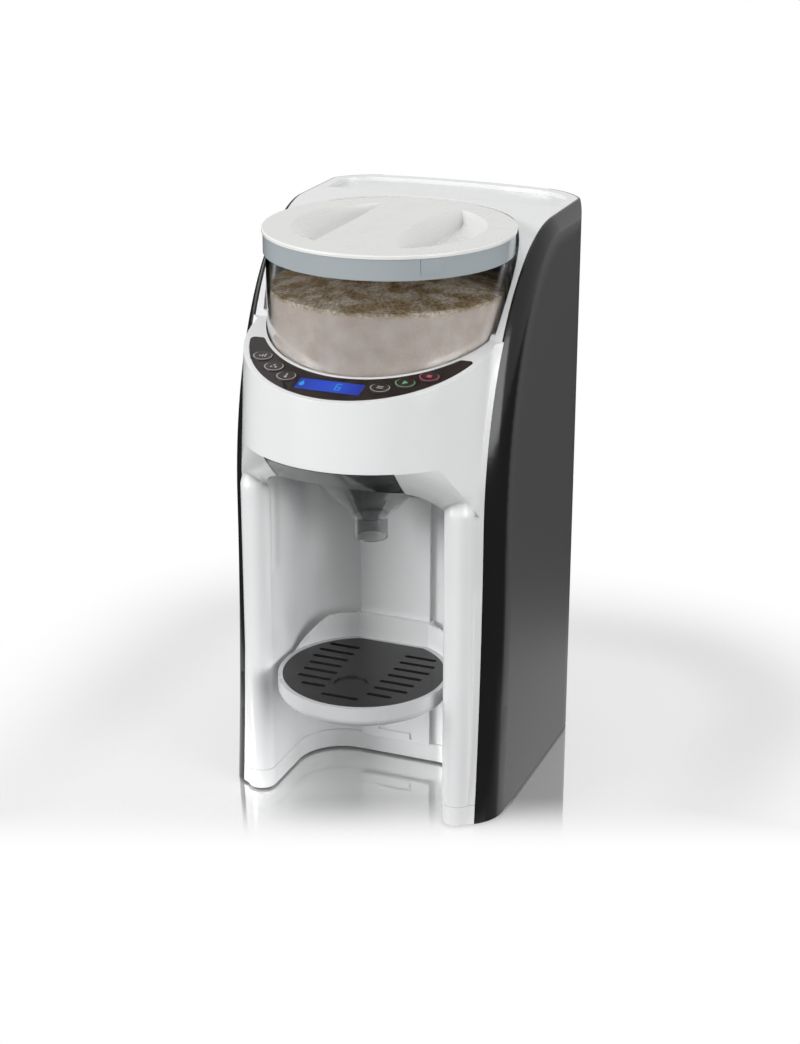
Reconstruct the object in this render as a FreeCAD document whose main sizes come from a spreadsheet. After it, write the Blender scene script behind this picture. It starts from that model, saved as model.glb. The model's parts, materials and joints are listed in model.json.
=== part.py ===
"""Countertop formula dispenser: a powder container over a mixing funnel, with a
water tank behind and a drip tray in the front bay.

Frame: millimetres, +Z up, the front faces -Y, origin at the middle of the
footprint on the surface that the machine stands on.
"""
import FreeCAD, Part
import math
import os
import re
import Sketcher

Vector = FreeCAD.Vector
Rotation = FreeCAD.Rotation
X_AXIS = Vector(1, 0, 0)
Y_AXIS = Vector(0, 1, 0)
Z_AXIS = Vector(0, 0, 1)
FOOTING = 10.0  # how far the outlines run below the machine

doc = FreeCAD.newDocument("formula_dispenser")
sheet = doc.addObject("Spreadsheet::Sheet", "Sizes")

# ---------------------------------------------------------------- driving sizes
SIZES = {
    # powder container and its well; the body takes its width from them
    "well_y": -15.0,               # axis of the container
    "container_radius": 78.0,
    "container_wall": 2.2,
    "container_gap": 0.6,          # between the container and its well
    "container_foot": 2.2,
    "collar_wall": 1.6,
    "collar_height": 13.0,
    "mark_half": 5.0,              # half width of the mark on the collar
    "mark_height": 8.7,
    "lid_overhang": 0.8,
    "lid_gap": 1.0,                # between the lid and its well
    "lid_thick": 2.4,
    "plug_gap": 3.2,               # between the lid's plug and the container
    "lid_plug_depth": 11.0,
    "seal_depth": 1.0,             # groove of the lid's seal
    "seal_height": 2.6,
    "seal_drop": 6.8,              # foot of the seal below the lid
    "grip_half": 27.0,             # half width of the lid's grip bar at its ends
    "grip_waist": 13.0,            # how far its right side curves in
    "grip_waist_left": 1.0,
    "scoop_edge": 17.9,            # from the end of a finger recess to the lid's edge
    "scoop_depth": 8.6,
    "scoop_crease": 6.0,           # from the bar's end to the crease at the bottom
    "scoop_crease_left": 2.5,
    # outer body
    "shell_wall": 2.8,
    "side_wall": 3.0,
    "side_margin": 10.8,           # between the well's wall and the outside
    "body_top": 380.0,
    "column_front": -82.0,         # y of the column fronts
    "edge_round": 28.0,            # rounding of the body's long front edge
    "rear_corner": 45.0,           # plan radius of the rear corners
    "rear_bow": 400.0,             # plan radius of the rear wall
    "tank_margin": 7.0,            # between the lid's well and the tank
    "tank_depth": 53.6,
    "housing_gap": 0.8,            # between the white housing and the tank
    "wall_gap": 3.2,               # from the front of the chassis wall to the tank
    # the sweep that parts the white front from the dark sides
    "sweep_back": 17.0,            # from the column fronts to where the sweep begins
    "seam_lean": 10.0,             # how far the seam leans back up to the sweep
    "sweep_height": 180.0,
    "sweep_level": 81.0,           # length of the level top behind the sweep
    "sweep_margin": 5.0,           # front edge of the body ahead of the seam
    "sweep_margin_top": 10.0,
    "shoulder_drop": 7.4,
    "shoulder_draft": 5.3,         # the shoulders are narrower at the front
    "side_border": 12.0,           # thick border of the side shells
    "seam": 0.3,                   # gap between neighbouring mouldings
    # head over the bay
    "bay_rise": 146.0,             # from the underside of the head to the top
    "well_rise": 47.0,
    "well_floor_wall": 2.6,
    "well_step_rise": 41.0,        # the well is wider above this step
    "container_drop": 3.0,
    "head_offset": 30.0,           # centre of the head ahead of the container's
    "head_draw": 10.8,
    "head_reach": 8.5,
    "head_draft": 3.9,
    "head_draft_depth": 11.9,
    "head_drop": 34.0,
    "head_span": 50.0,
    "chin_drop": 28.0,
    "chin_spread": 30.6,           # the oval that the chin is drawn in to
    "chin_depth": 19.8,
    "apron_rise": 18.0,
    "deck_rise": 22.5,
    "deck_slope": 0.27,
    # bay
    "column_width": 34.5,
    "bay_back": -2.0,
    "bay_corner": 32.0,
    "arch_corner": 22.0,
    "bay_edge": 9.5,               # radius of the round column fronts
    "round_rise": 6.0,             # they end in a cone inside the head
    "round_taper": 22.0,
    "round_tip": 4.0,
    "skirt_height": 14.7,
    "foot_height": 1.5,
    "base_plate": 2.5,
    "foot_radius": 7.0,
    "foot_seat": 1.2,              # depth that the feet are let in
    "foot_inset": 20.5,            # from the foot's centre to the body's side
    "rear_foot_inset": 35.0,
    "post_radius": 5.5,
    "post_margin": 7.5,            # from the bay to the centre of a screw post
    "screw_y": -30.0,
    "rear_screw_back": 16.6,       # rear screws behind the front of the tank
    "rear_screw_inset": 35.0,      # and from the body's side
    "screw_length": 10.0,
    # powder
    "headroom": 34.0,
    "powder_heap": 9.0,
    # dosing train
    "gear_module": 1.2,
    "drive_teeth": 30.0,
    "pinion_teeth": 12.0,
    "outlet_radius": 9.0,
    "chute_wall": 2.5,
    "chute_gap": 2.0,              # between the chute and the gear's teeth
    "gear_width": 6.0,
    "gear_drop": 13.0,
    "axle_radius": 3.0,
    "axle_reach": 11.0,
    "run_gap": 0.05,               # radial clearance of a running fit
    "hub_radius": 9.0,
    "stub_radius": 6.0,
    "motor_radius": 17.0,
    "motor_height": 22.0,
    "gear_plate": 3.0,
    "gear_lift": 2.0,              # gears above their plate
    "wheel_margin": 5.8,
    "wheel_height": 6.0,
    "wheel_arm": 3.2,
    "scraper_gap": 0.6,
    "scraper_thick": 1.8,
    "scraper_half": 13.0,
    "disc_thick": 2.4,
    "gear_slack": 0.2,             # backlash at the pitch circle
    "shaft_radius": 2.0,
    "hex_half": 4.8,               # half the drive hexagon's width across flats
    "hex_length": 6.6,
    "plate_half": 30.0,
    "plate_post": 3.0,             # radius of the plate's posts
    # funnel
    "funnel_half": 43.0,
    "notch_depth": 39.5,           # from the head's front to the rear of its notch
    "funnel_wall": 1.8,
    "dish_height": 16.0,
    "cone_radius": 32.0,
    "cone_height": 21.0,
    "spout_radius": 11.2,
    "spout_length": 15.0,
    "funnel_gap": 9.0,             # behind the funnel, to the bay's wall
    "flange": 3.0,
    "dish_reach": 50.0,
    "rail_thick": 2.0,
    # water side
    "tank_side": 3.1,
    "tank_hang": 44.0,
    "tank_drop": 8.0,
    "tank_wall": 2.4,
    "rear_panel_half": 60.0,
    "panel_gap": 0.6,
    "panel_back": 20.0,            # where the rear panels begin, behind the tank's front
    "tank_bow_back": 25.0,
    "grip_width": 56.0,            # finger grip in the rear of the tank
    "grip_height": 18.0,
    "grip_drop": 24.0,
    "grip_depth": 6.5,
    "shelf_gap": 6.0,
    "shelf_thick": 3.0,
    "tank_inset": 3.4,
    "lid_inset": 1.4,
    "lid_rim": 7.0,
    "lid_dip": 2.8,
    "valve_x": -35.0,
    "valve_gap": 0.2,              # between the valve's stem and the socket's pin
    "stem_drop": 1.6,
    "socket_radius": 8.95,
    "socket_drop": 8.6,
    "valve_back": 24.6,
    "hose_radius": 3.5,
    "hose_bore": 2.0,
    "heater_x": 26.0,
    "heater_y": 32.0,
    "heater_radius": 18.0,
    "heater_foot": 60.0,
    "heater_height": 90.0,
    "stay_lift": 30.0,
    "stay_height": 20.0,
    "pump_y": 36.0,
    "pump_radius": 17.0,
    "pump_height": 40.0,
    "port_length": 7.0,
    "nozzle_rise": 14.0,
    "nozzle_radius": 4.5,
    "nozzle_drop": 9.0,
    "nozzle_length": 14.0,
    # tray
    "tray_offset": 13.0,           # ahead of the outlet
    "tray_margin": 4.0,            # between the tray and the bay's sides
    "tray_top": 91.0,
    "tray_height": 14.0,
    "tray_wall": 2.2,
    "tray_round": 6.0,
    "tray_gap": 8.2,
    "grille_rim": 3.3,
    "grille_thick": 2.4,
    "slot_width": 3.4,
    "slot_step": 10.4,
    "dimple_radius": 11.5,
    "dimple_offset": 19.8,
    "arm_height": 7.0,
    "arm_inner": 12.0,
    "arm_width": 8.0,
    "rail_half": 25.0,
    "rail_depth": 4.0,
    "rail_flange": 2.0,
    "rail_web": 21.0,
    "cheek": 2.4,
    "slide_gap": 0.2,
    "rail_gap": 38.0,
    "guard_wall": 2.2,             # curved guard behind the tray
    "guard_rise": 17.0,
    "guard_start": 13.0,           # where it begins, behind the tray's centre
    "guard_length": 28.0,
    "notch_step": 15.0,            # between the height notches of the rail
    # controls
    "panel_thick": 1.6,
    "panel_lap": 2.3,
    "panel_draw": 3.2,
    "panel_offset": 27.0,
    "panel_end": 20.0,
    "button_half": 6.8,
    "button_half_short": 5.4,
    "button_proud": 0.5,
    "button_gap": 0.25,
    "button_cap": 3.0,             # depth of a button's cap below the deck
    "button_stem": 5.0,
    "button_travel": 0.8,
    "display_x": -2.3,
    "display_inset": 13.7,
    "display_width": 42.6,
    "display_depth": 11.6,
    "board_depth": 9.0,            # top of the control board below the deck
    "board_thick": 1.6,
    # rear
    "switch_x": -8.0,
    "inlet_x": 28.0,
    "socket_height": 36.0,
    "screw_radius": 3.0,
}
for row, (alias, value) in enumerate(SIZES.items(), start=1):
    sheet.set("A%d" % row, alias)
    sheet.set("B%d" % row, str(value))
    sheet.setAlias("B%d" % row, alias)
doc.recompute()

# ------------------------------------- sizes that follow from the driving ones
TIES = {
    # powder container and its well; the body takes its width from them
    "collar_radius": "container_radius + collar_wall",
    "lid_radius": "collar_radius + lid_overhang",
    "lid_plug": "container_radius - container_wall - plug_gap",
    "scoop_radius": "lid_radius - scoop_edge",
    # outer body
    "body_width": "2 * (lid_radius + lid_gap + shell_wall + side_margin)",
    "tank_front": "well_y + lid_radius + lid_gap + tank_margin",
    "body_rear": "tank_front + tank_depth",
    # the sweep that parts the white front from the dark sides
    "sweep_front": "column_front + sweep_back",
    "sweep_start": "body_top - sweep_height",   # height where the sweep begins
    "sweep_end": "body_rear - sweep_level",
    "shoulder_half": "body_width / 2 - shoulder_drop",
    # head over the bay
    "chin_height": "body_top - bay_rise",
    "well_floor": "chin_height + well_rise",
    "well_step": "well_floor + well_step_rise",
    "container_top": "body_top - container_drop",
    "head_centre": "well_y - head_offset",
    "head_half": "body_width / 2 - head_draw",
    "head_depth": "container_radius + head_reach",
    "head_half_top": "head_half - head_draft",
    "head_depth_top": "head_depth - head_draft_depth",
    "head_foot": "chin_height - head_drop",
    "head_top": "body_top - head_span",
    "chin_foot": "chin_height - chin_drop",
    "chin_half": "body_width / 2 + chin_spread",
    "apron_top": "chin_height + apron_rise",
    "deck_front": "well_y - container_radius",  # a line on the control deck: its y
    "deck_height": "well_floor + deck_rise",    # and its height
    # bay
    "bay_half": "body_width / 2 - column_width",
    # powder
    "powder_height": "container_top - headroom",
    # dosing train
    "chute_radius": "outlet_radius + chute_wall",
    "outlet_offset": "gear_module * (drive_teeth / 2 + 1) + chute_gap + chute_radius",
    "gear_height": "well_floor - gear_drop",
    "wheel_radius": "container_radius - container_wall - wheel_margin",
    # funnel
    "notch_back": "head_centre - head_depth + notch_depth",
    "cone_top": "chin_height - dish_height",
    "cone_foot": "cone_top - cone_height",
    "spout_foot": "cone_foot - spout_length",
    "funnel_back": "bay_back - funnel_gap",
    # water side
    "tank_half": "shoulder_half - tank_side",
    "tank_foot": "chin_height - tank_hang",
    "tank_top": "body_top - tank_drop",
    "tank_panel_half": "rear_panel_half - panel_gap",
    "tank_shelf": "tank_foot - shelf_gap",
    "valve_y": "tank_front + valve_back",
    "nozzle_height": "chin_height + nozzle_rise",
    # tray
    "tray_radius": "bay_half - tray_margin",
    "tray_y": "well_y - outlet_offset - tray_offset",
    "tray_back": "bay_back - tray_gap",
    "grille_radius": "tray_radius - grille_rim",
    "dimple_y": "tray_y - dimple_offset",
    "rail_foot": "skirt_height + seam",
    "rail_top": "chin_height - rail_gap",
    # controls
    "panel_inner": "container_radius + container_gap + panel_lap",
    "panel_radius": "panel_inner - panel_draw",
    "panel_centre": "well_y - panel_offset",
    "panel_tip": "panel_centre - panel_end",
    "display_y": "panel_centre - panel_radius + display_inset",
}


def formula(text):
    """An expression over the sheet's cells, for setExpression."""
    def spelt_out(word):
        name = word.group(0)
        if name in TIES:
            return "(%s)" % formula(TIES[name])
        return "Sizes." + name if name in SIZES else name
    return re.sub(r"[a-z][a-z0-9_]*", spelt_out, str(text))


def size(text):
    """The value of a size, or of an expression over the sizes."""
    return float(sheet.evalExpression(formula(text)))


FAR = size("1.6 * body_top")  # longer than the machine, for cutting blocks


# ------------------------------------------------------------- document helpers
def primitive(kind, name, place, turn=None, **dims):
    """A Part primitive whose sizes and place are bound to the sheet."""
    item = doc.addObject("Part::" + kind, name)
    if turn:
        item.Placement = FreeCAD.Placement(Vector(), Rotation(*turn))
    for prop, text in dims.items():
        item.setExpression(prop, formula(text))
    for axis, text in zip("xyz", place):
        item.setExpression("Placement.Base." + axis, formula(text))
    return item


def cylinder(name, place, radius, height, turn=None):
    return primitive("Cylinder", name, place, turn, Radius=radius, Height=height)


def block(name, place, length, width, height, turn=None):
    return primitive("Box", name, place, turn, Length=length, Width=width, Height=height)


def joined(name, *items):
    group = doc.addObject("Part::MultiFuse", name)
    group.Shapes = list(items)
    return group


def shared(name, *items):
    group = doc.addObject("Part::MultiCommon", name)
    group.Shapes = list(items)
    return group


def cut(name, base, *tools):
    result = doc.addObject("Part::Cut", name)
    result.Base = base
    result.Tool = tools[0] if len(tools) == 1 else joined(name + "_tools", *tools)
    return result


def rounded(name, base, radius, chosen):
    """A fillet of the base's edges that the test chosen(edge) accepts."""
    doc.recompute()
    item = doc.addObject("Part::Fillet", name)
    item.Base = base
    item.Edges = [(number, radius, radius)
                  for number, edge in enumerate(base.Shape.Edges, start=1) if chosen(edge)]
    return item


def feature(name, shape):
    item = doc.addObject("Part::Feature", name)
    item.Shape = shape
    return item


def revolved(name, profile, place):
    """A PartDesign body: a closed profile of (radius, height) formulas turned
    about its own vertical axis."""
    body = doc.addObject("PartDesign::Body", name)
    sketch = body.newObject("Sketcher::SketchObject", name + "_profile")
    plane = [item for item in body.Origin.OriginFeatures if item.Role == "XZ_Plane"][0]
    sketch.AttachmentSupport = [(plane, "")]
    sketch.MapMode = "FlatFace"
    corners = [(size(r), size(z)) for r, z in profile]
    count = len(corners)
    for k in range(count):
        start, end = corners[k], corners[(k + 1) % count]
        sketch.addGeometry(Part.LineSegment(Vector(start[0], start[1], 0),
                                            Vector(end[0], end[1], 0)), False)
    for k in range(count):
        sketch.addConstraint(Sketcher.Constraint("Coincident", k, 2, (k + 1) % count, 1))
    for k, (r, z) in enumerate(profile):
        for kind, text, value, zero_line in (("DistanceX", r, corners[k][0], -2),
                                             ("DistanceY", z, corners[k][1], -1)):
            if text == "0":
                sketch.addConstraint(Sketcher.Constraint("PointOnObject", k, 1, zero_line))
            else:
                number = sketch.addConstraint(
                    Sketcher.Constraint(kind, -1, 1, k, 1, value))
                sketch.setExpression("Constraints[%d]" % number, formula(text))
    turn = body.newObject("PartDesign::Revolution", name + "_turn")
    turn.Profile = sketch
    turn.ReferenceAxis = (sketch, ["V_Axis"])
    turn.Angle = 360
    for axis, text in zip("xyz", place):
        body.setExpression("Placement.Base." + axis, formula(text))
    return body


# ---------------------------------------------------------------- shape helpers
def straight(*points):
    return [Part.LineSegment(Vector(*a), Vector(*b)).toShape()
            for a, b in zip(points, points[1:])]


def face_of(edges):
    return Part.Face(Part.Wire(Part.__sortEdges__(edges)))


def prism(edges, direction):
    return face_of(edges).extrude(direction)


def box(x0, x1, y0, y1, z0, z1):
    return Part.makeBox(x1 - x0, y1 - y0, z1 - z0, Vector(x0, y0, z0))


def disc(x, y, radius, z0, z1, axis=Z_AXIS):
    return Part.makeCylinder(radius, z1 - z0, Vector(x, y, z0), axis)


def fused(solid, others):
    """Fuses one after another, which keeps the swept faces whole."""
    for other in others:
        solid = solid.fuse(other)
    return solid


def body_plan(inset, z0, z1):
    """The body's footprint with its rounded rear, as a prism; square in front."""
    half = size("body_width") / 2 - inset
    rear = size("body_rear") - inset
    corner = size("rear_corner") - inset
    bow = size("rear_bow") - inset
    middle_y = rear - bow
    corner_x = half - corner
    corner_y = middle_y + math.sqrt((bow - corner) ** 2 - corner_x ** 2)
    lean = math.atan2(corner_y - middle_y, corner_x)

    def on_corner(angle, side):
        return Vector(side * (corner_x + corner * math.cos(angle)),
                      corner_y + corner * math.sin(angle), z0)

    front = size("column_front") - FAR / 4
    edges = [Part.Arc(on_corner(0, side), on_corner(lean / 2, side),
                      on_corner(lean, side)).toShape() for side in (1, -1)]
    edges.append(Part.Arc(on_corner(lean, 1), Vector(0, rear, z0),
                          on_corner(lean, -1)).toShape())
    edges += straight((half, corner_y, z0), (half, front, z0), (-half, front, z0),
                      (-half, corner_y, z0))
    return prism(edges, Vector(0, 0, z1 - z0))


def sweep_edges(inset, lead, x):
    """The side view of the swept seam, closed behind the machine: it leans back to
    the sweep's start. A lead of 1 gives the body's front edge, ahead of the seam."""
    start = size("sweep_start")
    end = size("sweep_end")
    deep = end - size("sweep_front") - inset + lead * size("sweep_margin")
    tall = size("body_top") - start - inset + lead * size("sweep_margin_top")
    front = Vector(x, end - deep, start)
    top = Vector(x, end, start + tall)
    lean = size("seam_lean")
    radius = (start ** 2 + lean ** 2) / (2 * lean)

    def leaned(z):
        return Vector(x, front.y - radius + math.sqrt(radius ** 2 - (start - z) ** 2), z)

    foot = leaned(-FOOTING)
    curve = Part.Arc(Part.Ellipse(top, front, Vector(x, end, start)), 0, math.pi / 2)
    slope = Part.Arc(front, leaned(start / 2), foot)
    return [curve.toShape(), slope.toShape()] + straight(
        top, (x, FAR, top.z), (x, FAR, foot.z), foot)


def sweep_block(inset, lead, half):
    """Everything behind the sweep, between two planes x = -half and half."""
    return prism(sweep_edges(inset, lead, -half), Vector(2 * half, 0, 0))


def shoulders(inset):
    """The space between the dark sides, narrower towards the front."""
    wide = size("shoulder_half") - inset
    slim = wide - size("shoulder_draft")
    y0, y1 = size("sweep_front"), size("sweep_end")
    right = [(wide, FAR, -FOOTING), (wide, y1, -FOOTING), (slim, y0, -FOOTING),
             (slim, -FAR, -FOOTING)]
    left = [(-x, y, z) for x, y, z in reversed(right)]
    return prism(straight(*right, *left, right[0]), Vector(0, 0, 2 * FAR))


def body_hull(inset, z0, z1):
    """The whole body with its long rounded front edges, wall by wall inset."""
    half = size("body_width") / 2 - inset
    raw = sweep_block(inset, 1, half)
    radius = size("edge_round") - inset
    side_edges = [edge for edge in raw.Edges
                  if abs(abs(edge.CenterOfMass.x) - half) < 0.01
                  and edge.BoundBox.YMin < FAR / 2 and edge.BoundBox.ZMax > 0]
    smooth = raw.makeFillet(radius, side_edges)
    return smooth.common(body_plan(inset, z0, z1))


def under_deck(inset):
    """Everything below the sloping control deck, which is inset downwards."""
    slope = size("deck_slope")
    drop = inset * math.sqrt(1 + slope ** 2)
    line_y = size("deck_front")
    line_z = size("deck_height") - drop
    return prism(straight((-FAR, -FAR, line_z + slope * (-FAR - line_y)),
                          (-FAR, FAR, line_z + slope * (FAR - line_y)),
                          (-FAR, FAR, -FAR), (-FAR, -FAR, -FAR),
                          (-FAR, -FAR, line_z + slope * (-FAR - line_y))),
                 Vector(2 * FAR, 0, 0))


def oval_ring(half, depth, height):
    """An oval outline in two halves, which meet at its left and right ends."""
    middle = Vector(0, size("head_centre"), height)
    along, across, start = Vector(half, 0, 0), Vector(0, depth, 0), 0
    if depth > half:
        along, across, start = across, -along, -math.pi / 2
    oval = Part.Ellipse(middle + along, middle + across, middle)
    return Part.Wire([Part.Arc(oval, start + turn, start + turn + math.pi).toShape()
                      for turn in (0, math.pi)])


def head_oval(height, inset):
    """The head's half width and depth at a height."""
    foot, top = size("head_foot"), size("head_top")
    share = (height - foot) / (top - foot)
    half = size("head_half") + share * (size("head_half_top") - size("head_half"))
    depth = size("head_depth") + share * (size("head_depth_top") - size("head_depth"))
    return half - inset, depth - inset


def head_column(inset, z0, z1):
    rings = [oval_ring(*head_oval(z, inset), z) for z in (z0, z1)]
    return Part.makeLoft(rings, True)


def head(inset):
    """The bulging head: an oval that leans back, drawn in below to the columns."""
    brow = size("apron_top")
    foot = size("chin_foot")
    narrow = oval_ring(size("chin_half") - inset, size("chin_depth") - inset, foot)
    wide = oval_ring(*head_oval(brow, inset), brow)
    chin = Part.makeLoft([narrow, wide], True)
    chin = chin.common(head_column(inset - 0.02, foot - 1, brow + 1))
    chin = chin.translated(Vector(0, 0, inset / 2))
    upper = head_column(inset, brow + inset / 2, size("head_top"))
    return upper.fuse(chin).common(under_deck(inset))


def bay(grow, z0):
    """The space in front, open to the front and below; grow makes it larger."""
    half = size("bay_half") + grow
    back = size("bay_back") + grow
    corner = size("bay_corner") + grow
    arch = size("arch_corner") + grow
    roof = size("chin_height") + grow
    turn = corner * (1 - math.sqrt(0.5))
    plan = [Part.Arc(Vector(side * half, back - corner, z0),
                     Vector(side * (half - turn), back - turn, z0),
                     Vector(side * (half - corner), back, z0)).toShape()
            for side in (1, -1)]
    plan += straight((half - corner, back, z0), (corner - half, back, z0))
    plan += straight((-half, back - corner, z0), (-half, -FAR, z0), (half, -FAR, z0),
                     (half, back - corner, z0))
    turn = arch * (1 - math.sqrt(0.5))
    front = [Part.Arc(Vector(side * half, FAR, roof - arch),
                      Vector(side * (half - turn), FAR, roof - turn),
                      Vector(side * (half - arch), FAR, roof)).toShape()
             for side in (1, -1)]
    front += straight((half - arch, FAR, roof), (arch - half, FAR, roof))
    front += straight((-half, FAR, roof - arch), (-half, FAR, -FAR), (half, FAR, -FAR),
                      (half, FAR, roof - arch))
    return prism(plan, Vector(0, 0, FAR)).common(prism(front, Vector(0, -2 * FAR, 0)))


def edge_rounds(z0, z1):
    """What is cut off where the column fronts turn into the bay."""
    radius = size("bay_edge")
    half = size("bay_half")
    front = size("column_front")
    pieces = []
    for side in (1, -1):
        corner = box(half - 1, half + radius, front - 1, front + radius, z0, z1)
        corner = corner.cut(disc(half + radius, front + radius, radius, z0 - 1, z1 + 1))
        if side < 0:
            corner = corner.mirror(Vector(), X_AXIS)
        pieces.append(corner)
    return pieces


def deck_block(depth0, depth1):
    """A slab parallel to the control deck, between two depths below it."""
    return under_deck(depth0).cut(under_deck(depth1))


def panel_outline(gap, corner=2.5):
    """The crescent of the control panel as a tall prism, grown by gap."""
    crescent = disc(0, size("panel_centre"), size("panel_radius") + gap, 0, FAR)
    crescent = crescent.cut(disc(0, size("well_y"), size("panel_inner") - gap, -1, FAR + 1))
    tip = size("panel_tip") + gap
    crescent = crescent.common(box(-FAR, FAR, -FAR, tip, 0, FAR))
    if not corner:
        return crescent
    corners = [edge for edge in crescent.Edges
               if edge.BoundBox.ZLength > FAR / 2
               and abs(edge.CenterOfMass.y - tip) < 0.5]
    return crescent.makeFillet(corner, corners)


def on_panel(angle, inset):
    """A place on the crescent, by its angle and its distance from the outer rim."""
    reach = size("panel_radius") - inset
    return (reach * math.sin(math.radians(angle)),
            size("panel_centre") - reach * math.cos(math.radians(angle)))


BUTTONS = {
    "volume_button": on_panel(-54.7, 7.1),
    "powder_button": on_panel(-41.7, 9.4),
    "temperature_button": on_panel(-29.3, 9.6),
    "unit_button": on_panel(25.7, 11.1),
    "start_button": on_panel(38.9, 10.9),
    "stop_button": on_panel(51.7, 9.1),
}
BOSSES = [on_panel(side * 65.0, 6.6) for side in (1, -1)]  # posts over the board
BOSS_RADIUS = 2.5


def mirrored(x, y):
    """A place and its mirror image, as formulas."""
    return [(x, y), ("-(%s)" % x, y)]


def places(pairs):
    return [(size(x), size(y)) for x, y in pairs]


COVER_SCREWS = (mirrored("bay_half + post_margin", "screw_y")
                + mirrored("body_width / 2 - rear_screw_inset",
                             "tank_front + rear_screw_back"))
SCREW_SEAT = size("foot_height") + size("base_plate") - 1.0
DECK_TILT = math.atan(size("deck_slope"))


def on_deck(x, y, depth=0.0):
    """A placement on the control deck, its Z axis along the deck's normal."""
    z = size("deck_height") + size("deck_slope") * (y - size("deck_front"))
    turn = Rotation(X_AXIS, math.degrees(DECK_TILT))
    return FreeCAD.Placement(Vector(x, y, z) - turn.multVec(Z_AXIS) * depth, turn)


def oval_on_deck(x, y, half, half_short, depth0, depth1):
    """An oval column across the control deck, from depth0 down to depth1."""
    oval = Part.Ellipse(Vector(half, 0, 0), Vector(0, half_short, 0), Vector())
    solid = prism([oval.toShape()], Vector(0, 0, depth1 - depth0))
    solid.Placement = on_deck(x, y, depth1)
    return solid


def block_on_deck(x, y, width, length, depth0, depth1):
    solid = Part.makeBox(width, length, depth1 - depth0, Vector(-width / 2, -length / 2, 0))
    solid.Placement = on_deck(x, y, depth1)
    return solid


# -------------------------------------------------------------------- the shells
def column_places():
    """Where the round fronts of the two columns stand in plan."""
    x = size("bay_half") + size("bay_edge")
    y = size("column_front") + size("bay_edge")
    return [(x, y), (-x, y)]


def column_rounds(inset, z0, z1):
    """The round fronts of the two columns at one width."""
    radius = size("bay_edge") - inset
    return [disc(x, y, radius, z0, z1) for x, y in column_places()]


def column_tips(inset, z0):
    """The cones that the round fronts run out in under the head."""
    radius = size("bay_edge") - inset
    return [Part.makeCone(radius, size("round_tip"), size("round_taper"), Vector(x, y, z0))
            for x, y in column_places()]


def white_outer(inset):
    """The white housing's outside: body behind the sweep, columns and head."""
    back = size("tank_front") - size("housing_gap")
    foot = size("skirt_height") + size("seam")
    gap = size("seam") / 2
    behind = sweep_block(inset, 0, FAR).common(shoulders(inset)).common(
        body_plan(inset, foot, size("body_top") - inset))
    behind = behind.common(box(-FAR, FAR, -FAR, back + inset, -FAR, FAR))
    flanks = sweep_block(gap - inset, 0, FAR)
    ahead = body_hull(inset, foot, size("body_top")).common(under_deck(inset)).cut(flanks)
    taper_start = size("chin_height") + size("round_rise") - size("round_taper")
    rounds = column_rounds(inset, foot, taper_start) + column_tips(inset, taper_start)
    front = head(inset).cut(flanks.cut(shoulders(inset)))
    return fused(behind, [ahead, front] + rounds)


def front_housing():
    wall = size("shell_wall")
    well_y = size("well_y")
    well_radius = size("container_radius") + size("container_gap")
    wide_radius = size("lid_radius") + size("lid_gap")
    floor = size("well_floor")
    well = disc(0, well_y, wide_radius + wall, floor, FAR)
    shell = white_outer(0).cut(white_outer(wall).cut(well).cut(bay(wall, -1)))
    rounds = edge_rounds(-1, size("chin_height") - size("arch_corner"))
    tools = [bay(0, -1),
             disc(0, well_y, well_radius, floor + size("well_floor_wall"), FAR),
             disc(0, well_y, wide_radius, size("well_step"), FAR),
             disc(0, well_y, size("hub_radius") + 0.6, floor - 1, FAR),
             disc(0, well_y - size("outlet_offset"), size("outlet_radius"), floor - 1, FAR)]
    for tool in tools + rounds:
        shell = shell.cut(tool)
    gap = size("seam")
    half = size("funnel_half") + gap
    chin = size("chin_height")
    notch = box(-half, half, -FAR, size("notch_back"), chin - 1, size("apron_top") + gap)
    half -= size("flange")
    slot = box(-half, half, -FAR, size("funnel_back"), chin - 1, chin + wall + 1)
    panel = panel_outline(0.15).common(deck_block(-2, size("panel_thick") + 0.1))
    low = size("board_depth") + size("board_thick") + size("seam")
    holes = [oval_on_deck(x, y, size("button_half") + 1.2, size("button_half_short") + 1.2,
                          -2, low) for x, y in BUTTONS.values()]
    holes.append(block_on_deck(size("display_x"), size("display_y"),
                               size("display_width") + 6, size("display_depth") + 2, -2, low))
    pillars = [disc(x, y, BOSS_RADIUS, 0, FAR).common(
        deck_block(size("panel_thick") + 2 * gap, size("board_depth"))) for x, y in BOSSES]
    plate_top = size("foot_height") + size("base_plate") + gap
    joint_z = size("skirt_height") + gap
    radius = size("post_radius")
    for x, y in places(COVER_SCREWS[:2]):
        post = disc(x, y, radius, joint_z, joint_z + 16).cut(bay(wall / 2, -1))
        post = post.fuse(disc(x, y, radius, plate_top, joint_z).cut(bay(wall + gap, -1)))
        pillars.append(post.cut(disc(x, y, size("screw_radius") / 2 + size("run_gap"), 0,
                                     plate_top + size("screw_length"))))
    for tool in [notch, slot, panel] + holes:
        shell = shell.cut(tool)
    return fused(shell, pillars)


def side_shell(side):
    """One dark side: from the sweep to the rear panel, with a thick border."""
    wall = size("side_wall")
    gap = size("seam") / 2
    z0 = size("foot_height")
    shell = body_hull(0, z0, size("body_top")).common(sweep_block(gap, 0, FAR))
    inner = sweep_block(size("side_border"), 0, size("body_width") / 2 - wall)
    inner = inner.common(body_plan(wall, -1, size("tank_top") - size("side_border") / 2))
    middle = shoulders(-size("seam"))
    core = middle.common(body_plan(wall, -1, FAR))
    under_lid = body_plan(size("lid_inset") - size("seam"), size("tank_top") - gap, FAR)
    under_lid = under_lid.common(middle)
    half = size("rear_panel_half") + gap
    shell = shell.common(box(half, FAR, -FAR, FAR, -FAR, FAR))
    shell = shell.cut([inner, core, under_lid])
    if side < 0:
        shell = shell.mirror(Vector(), X_AXIS)
    return shell


PARTS = {}


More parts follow.
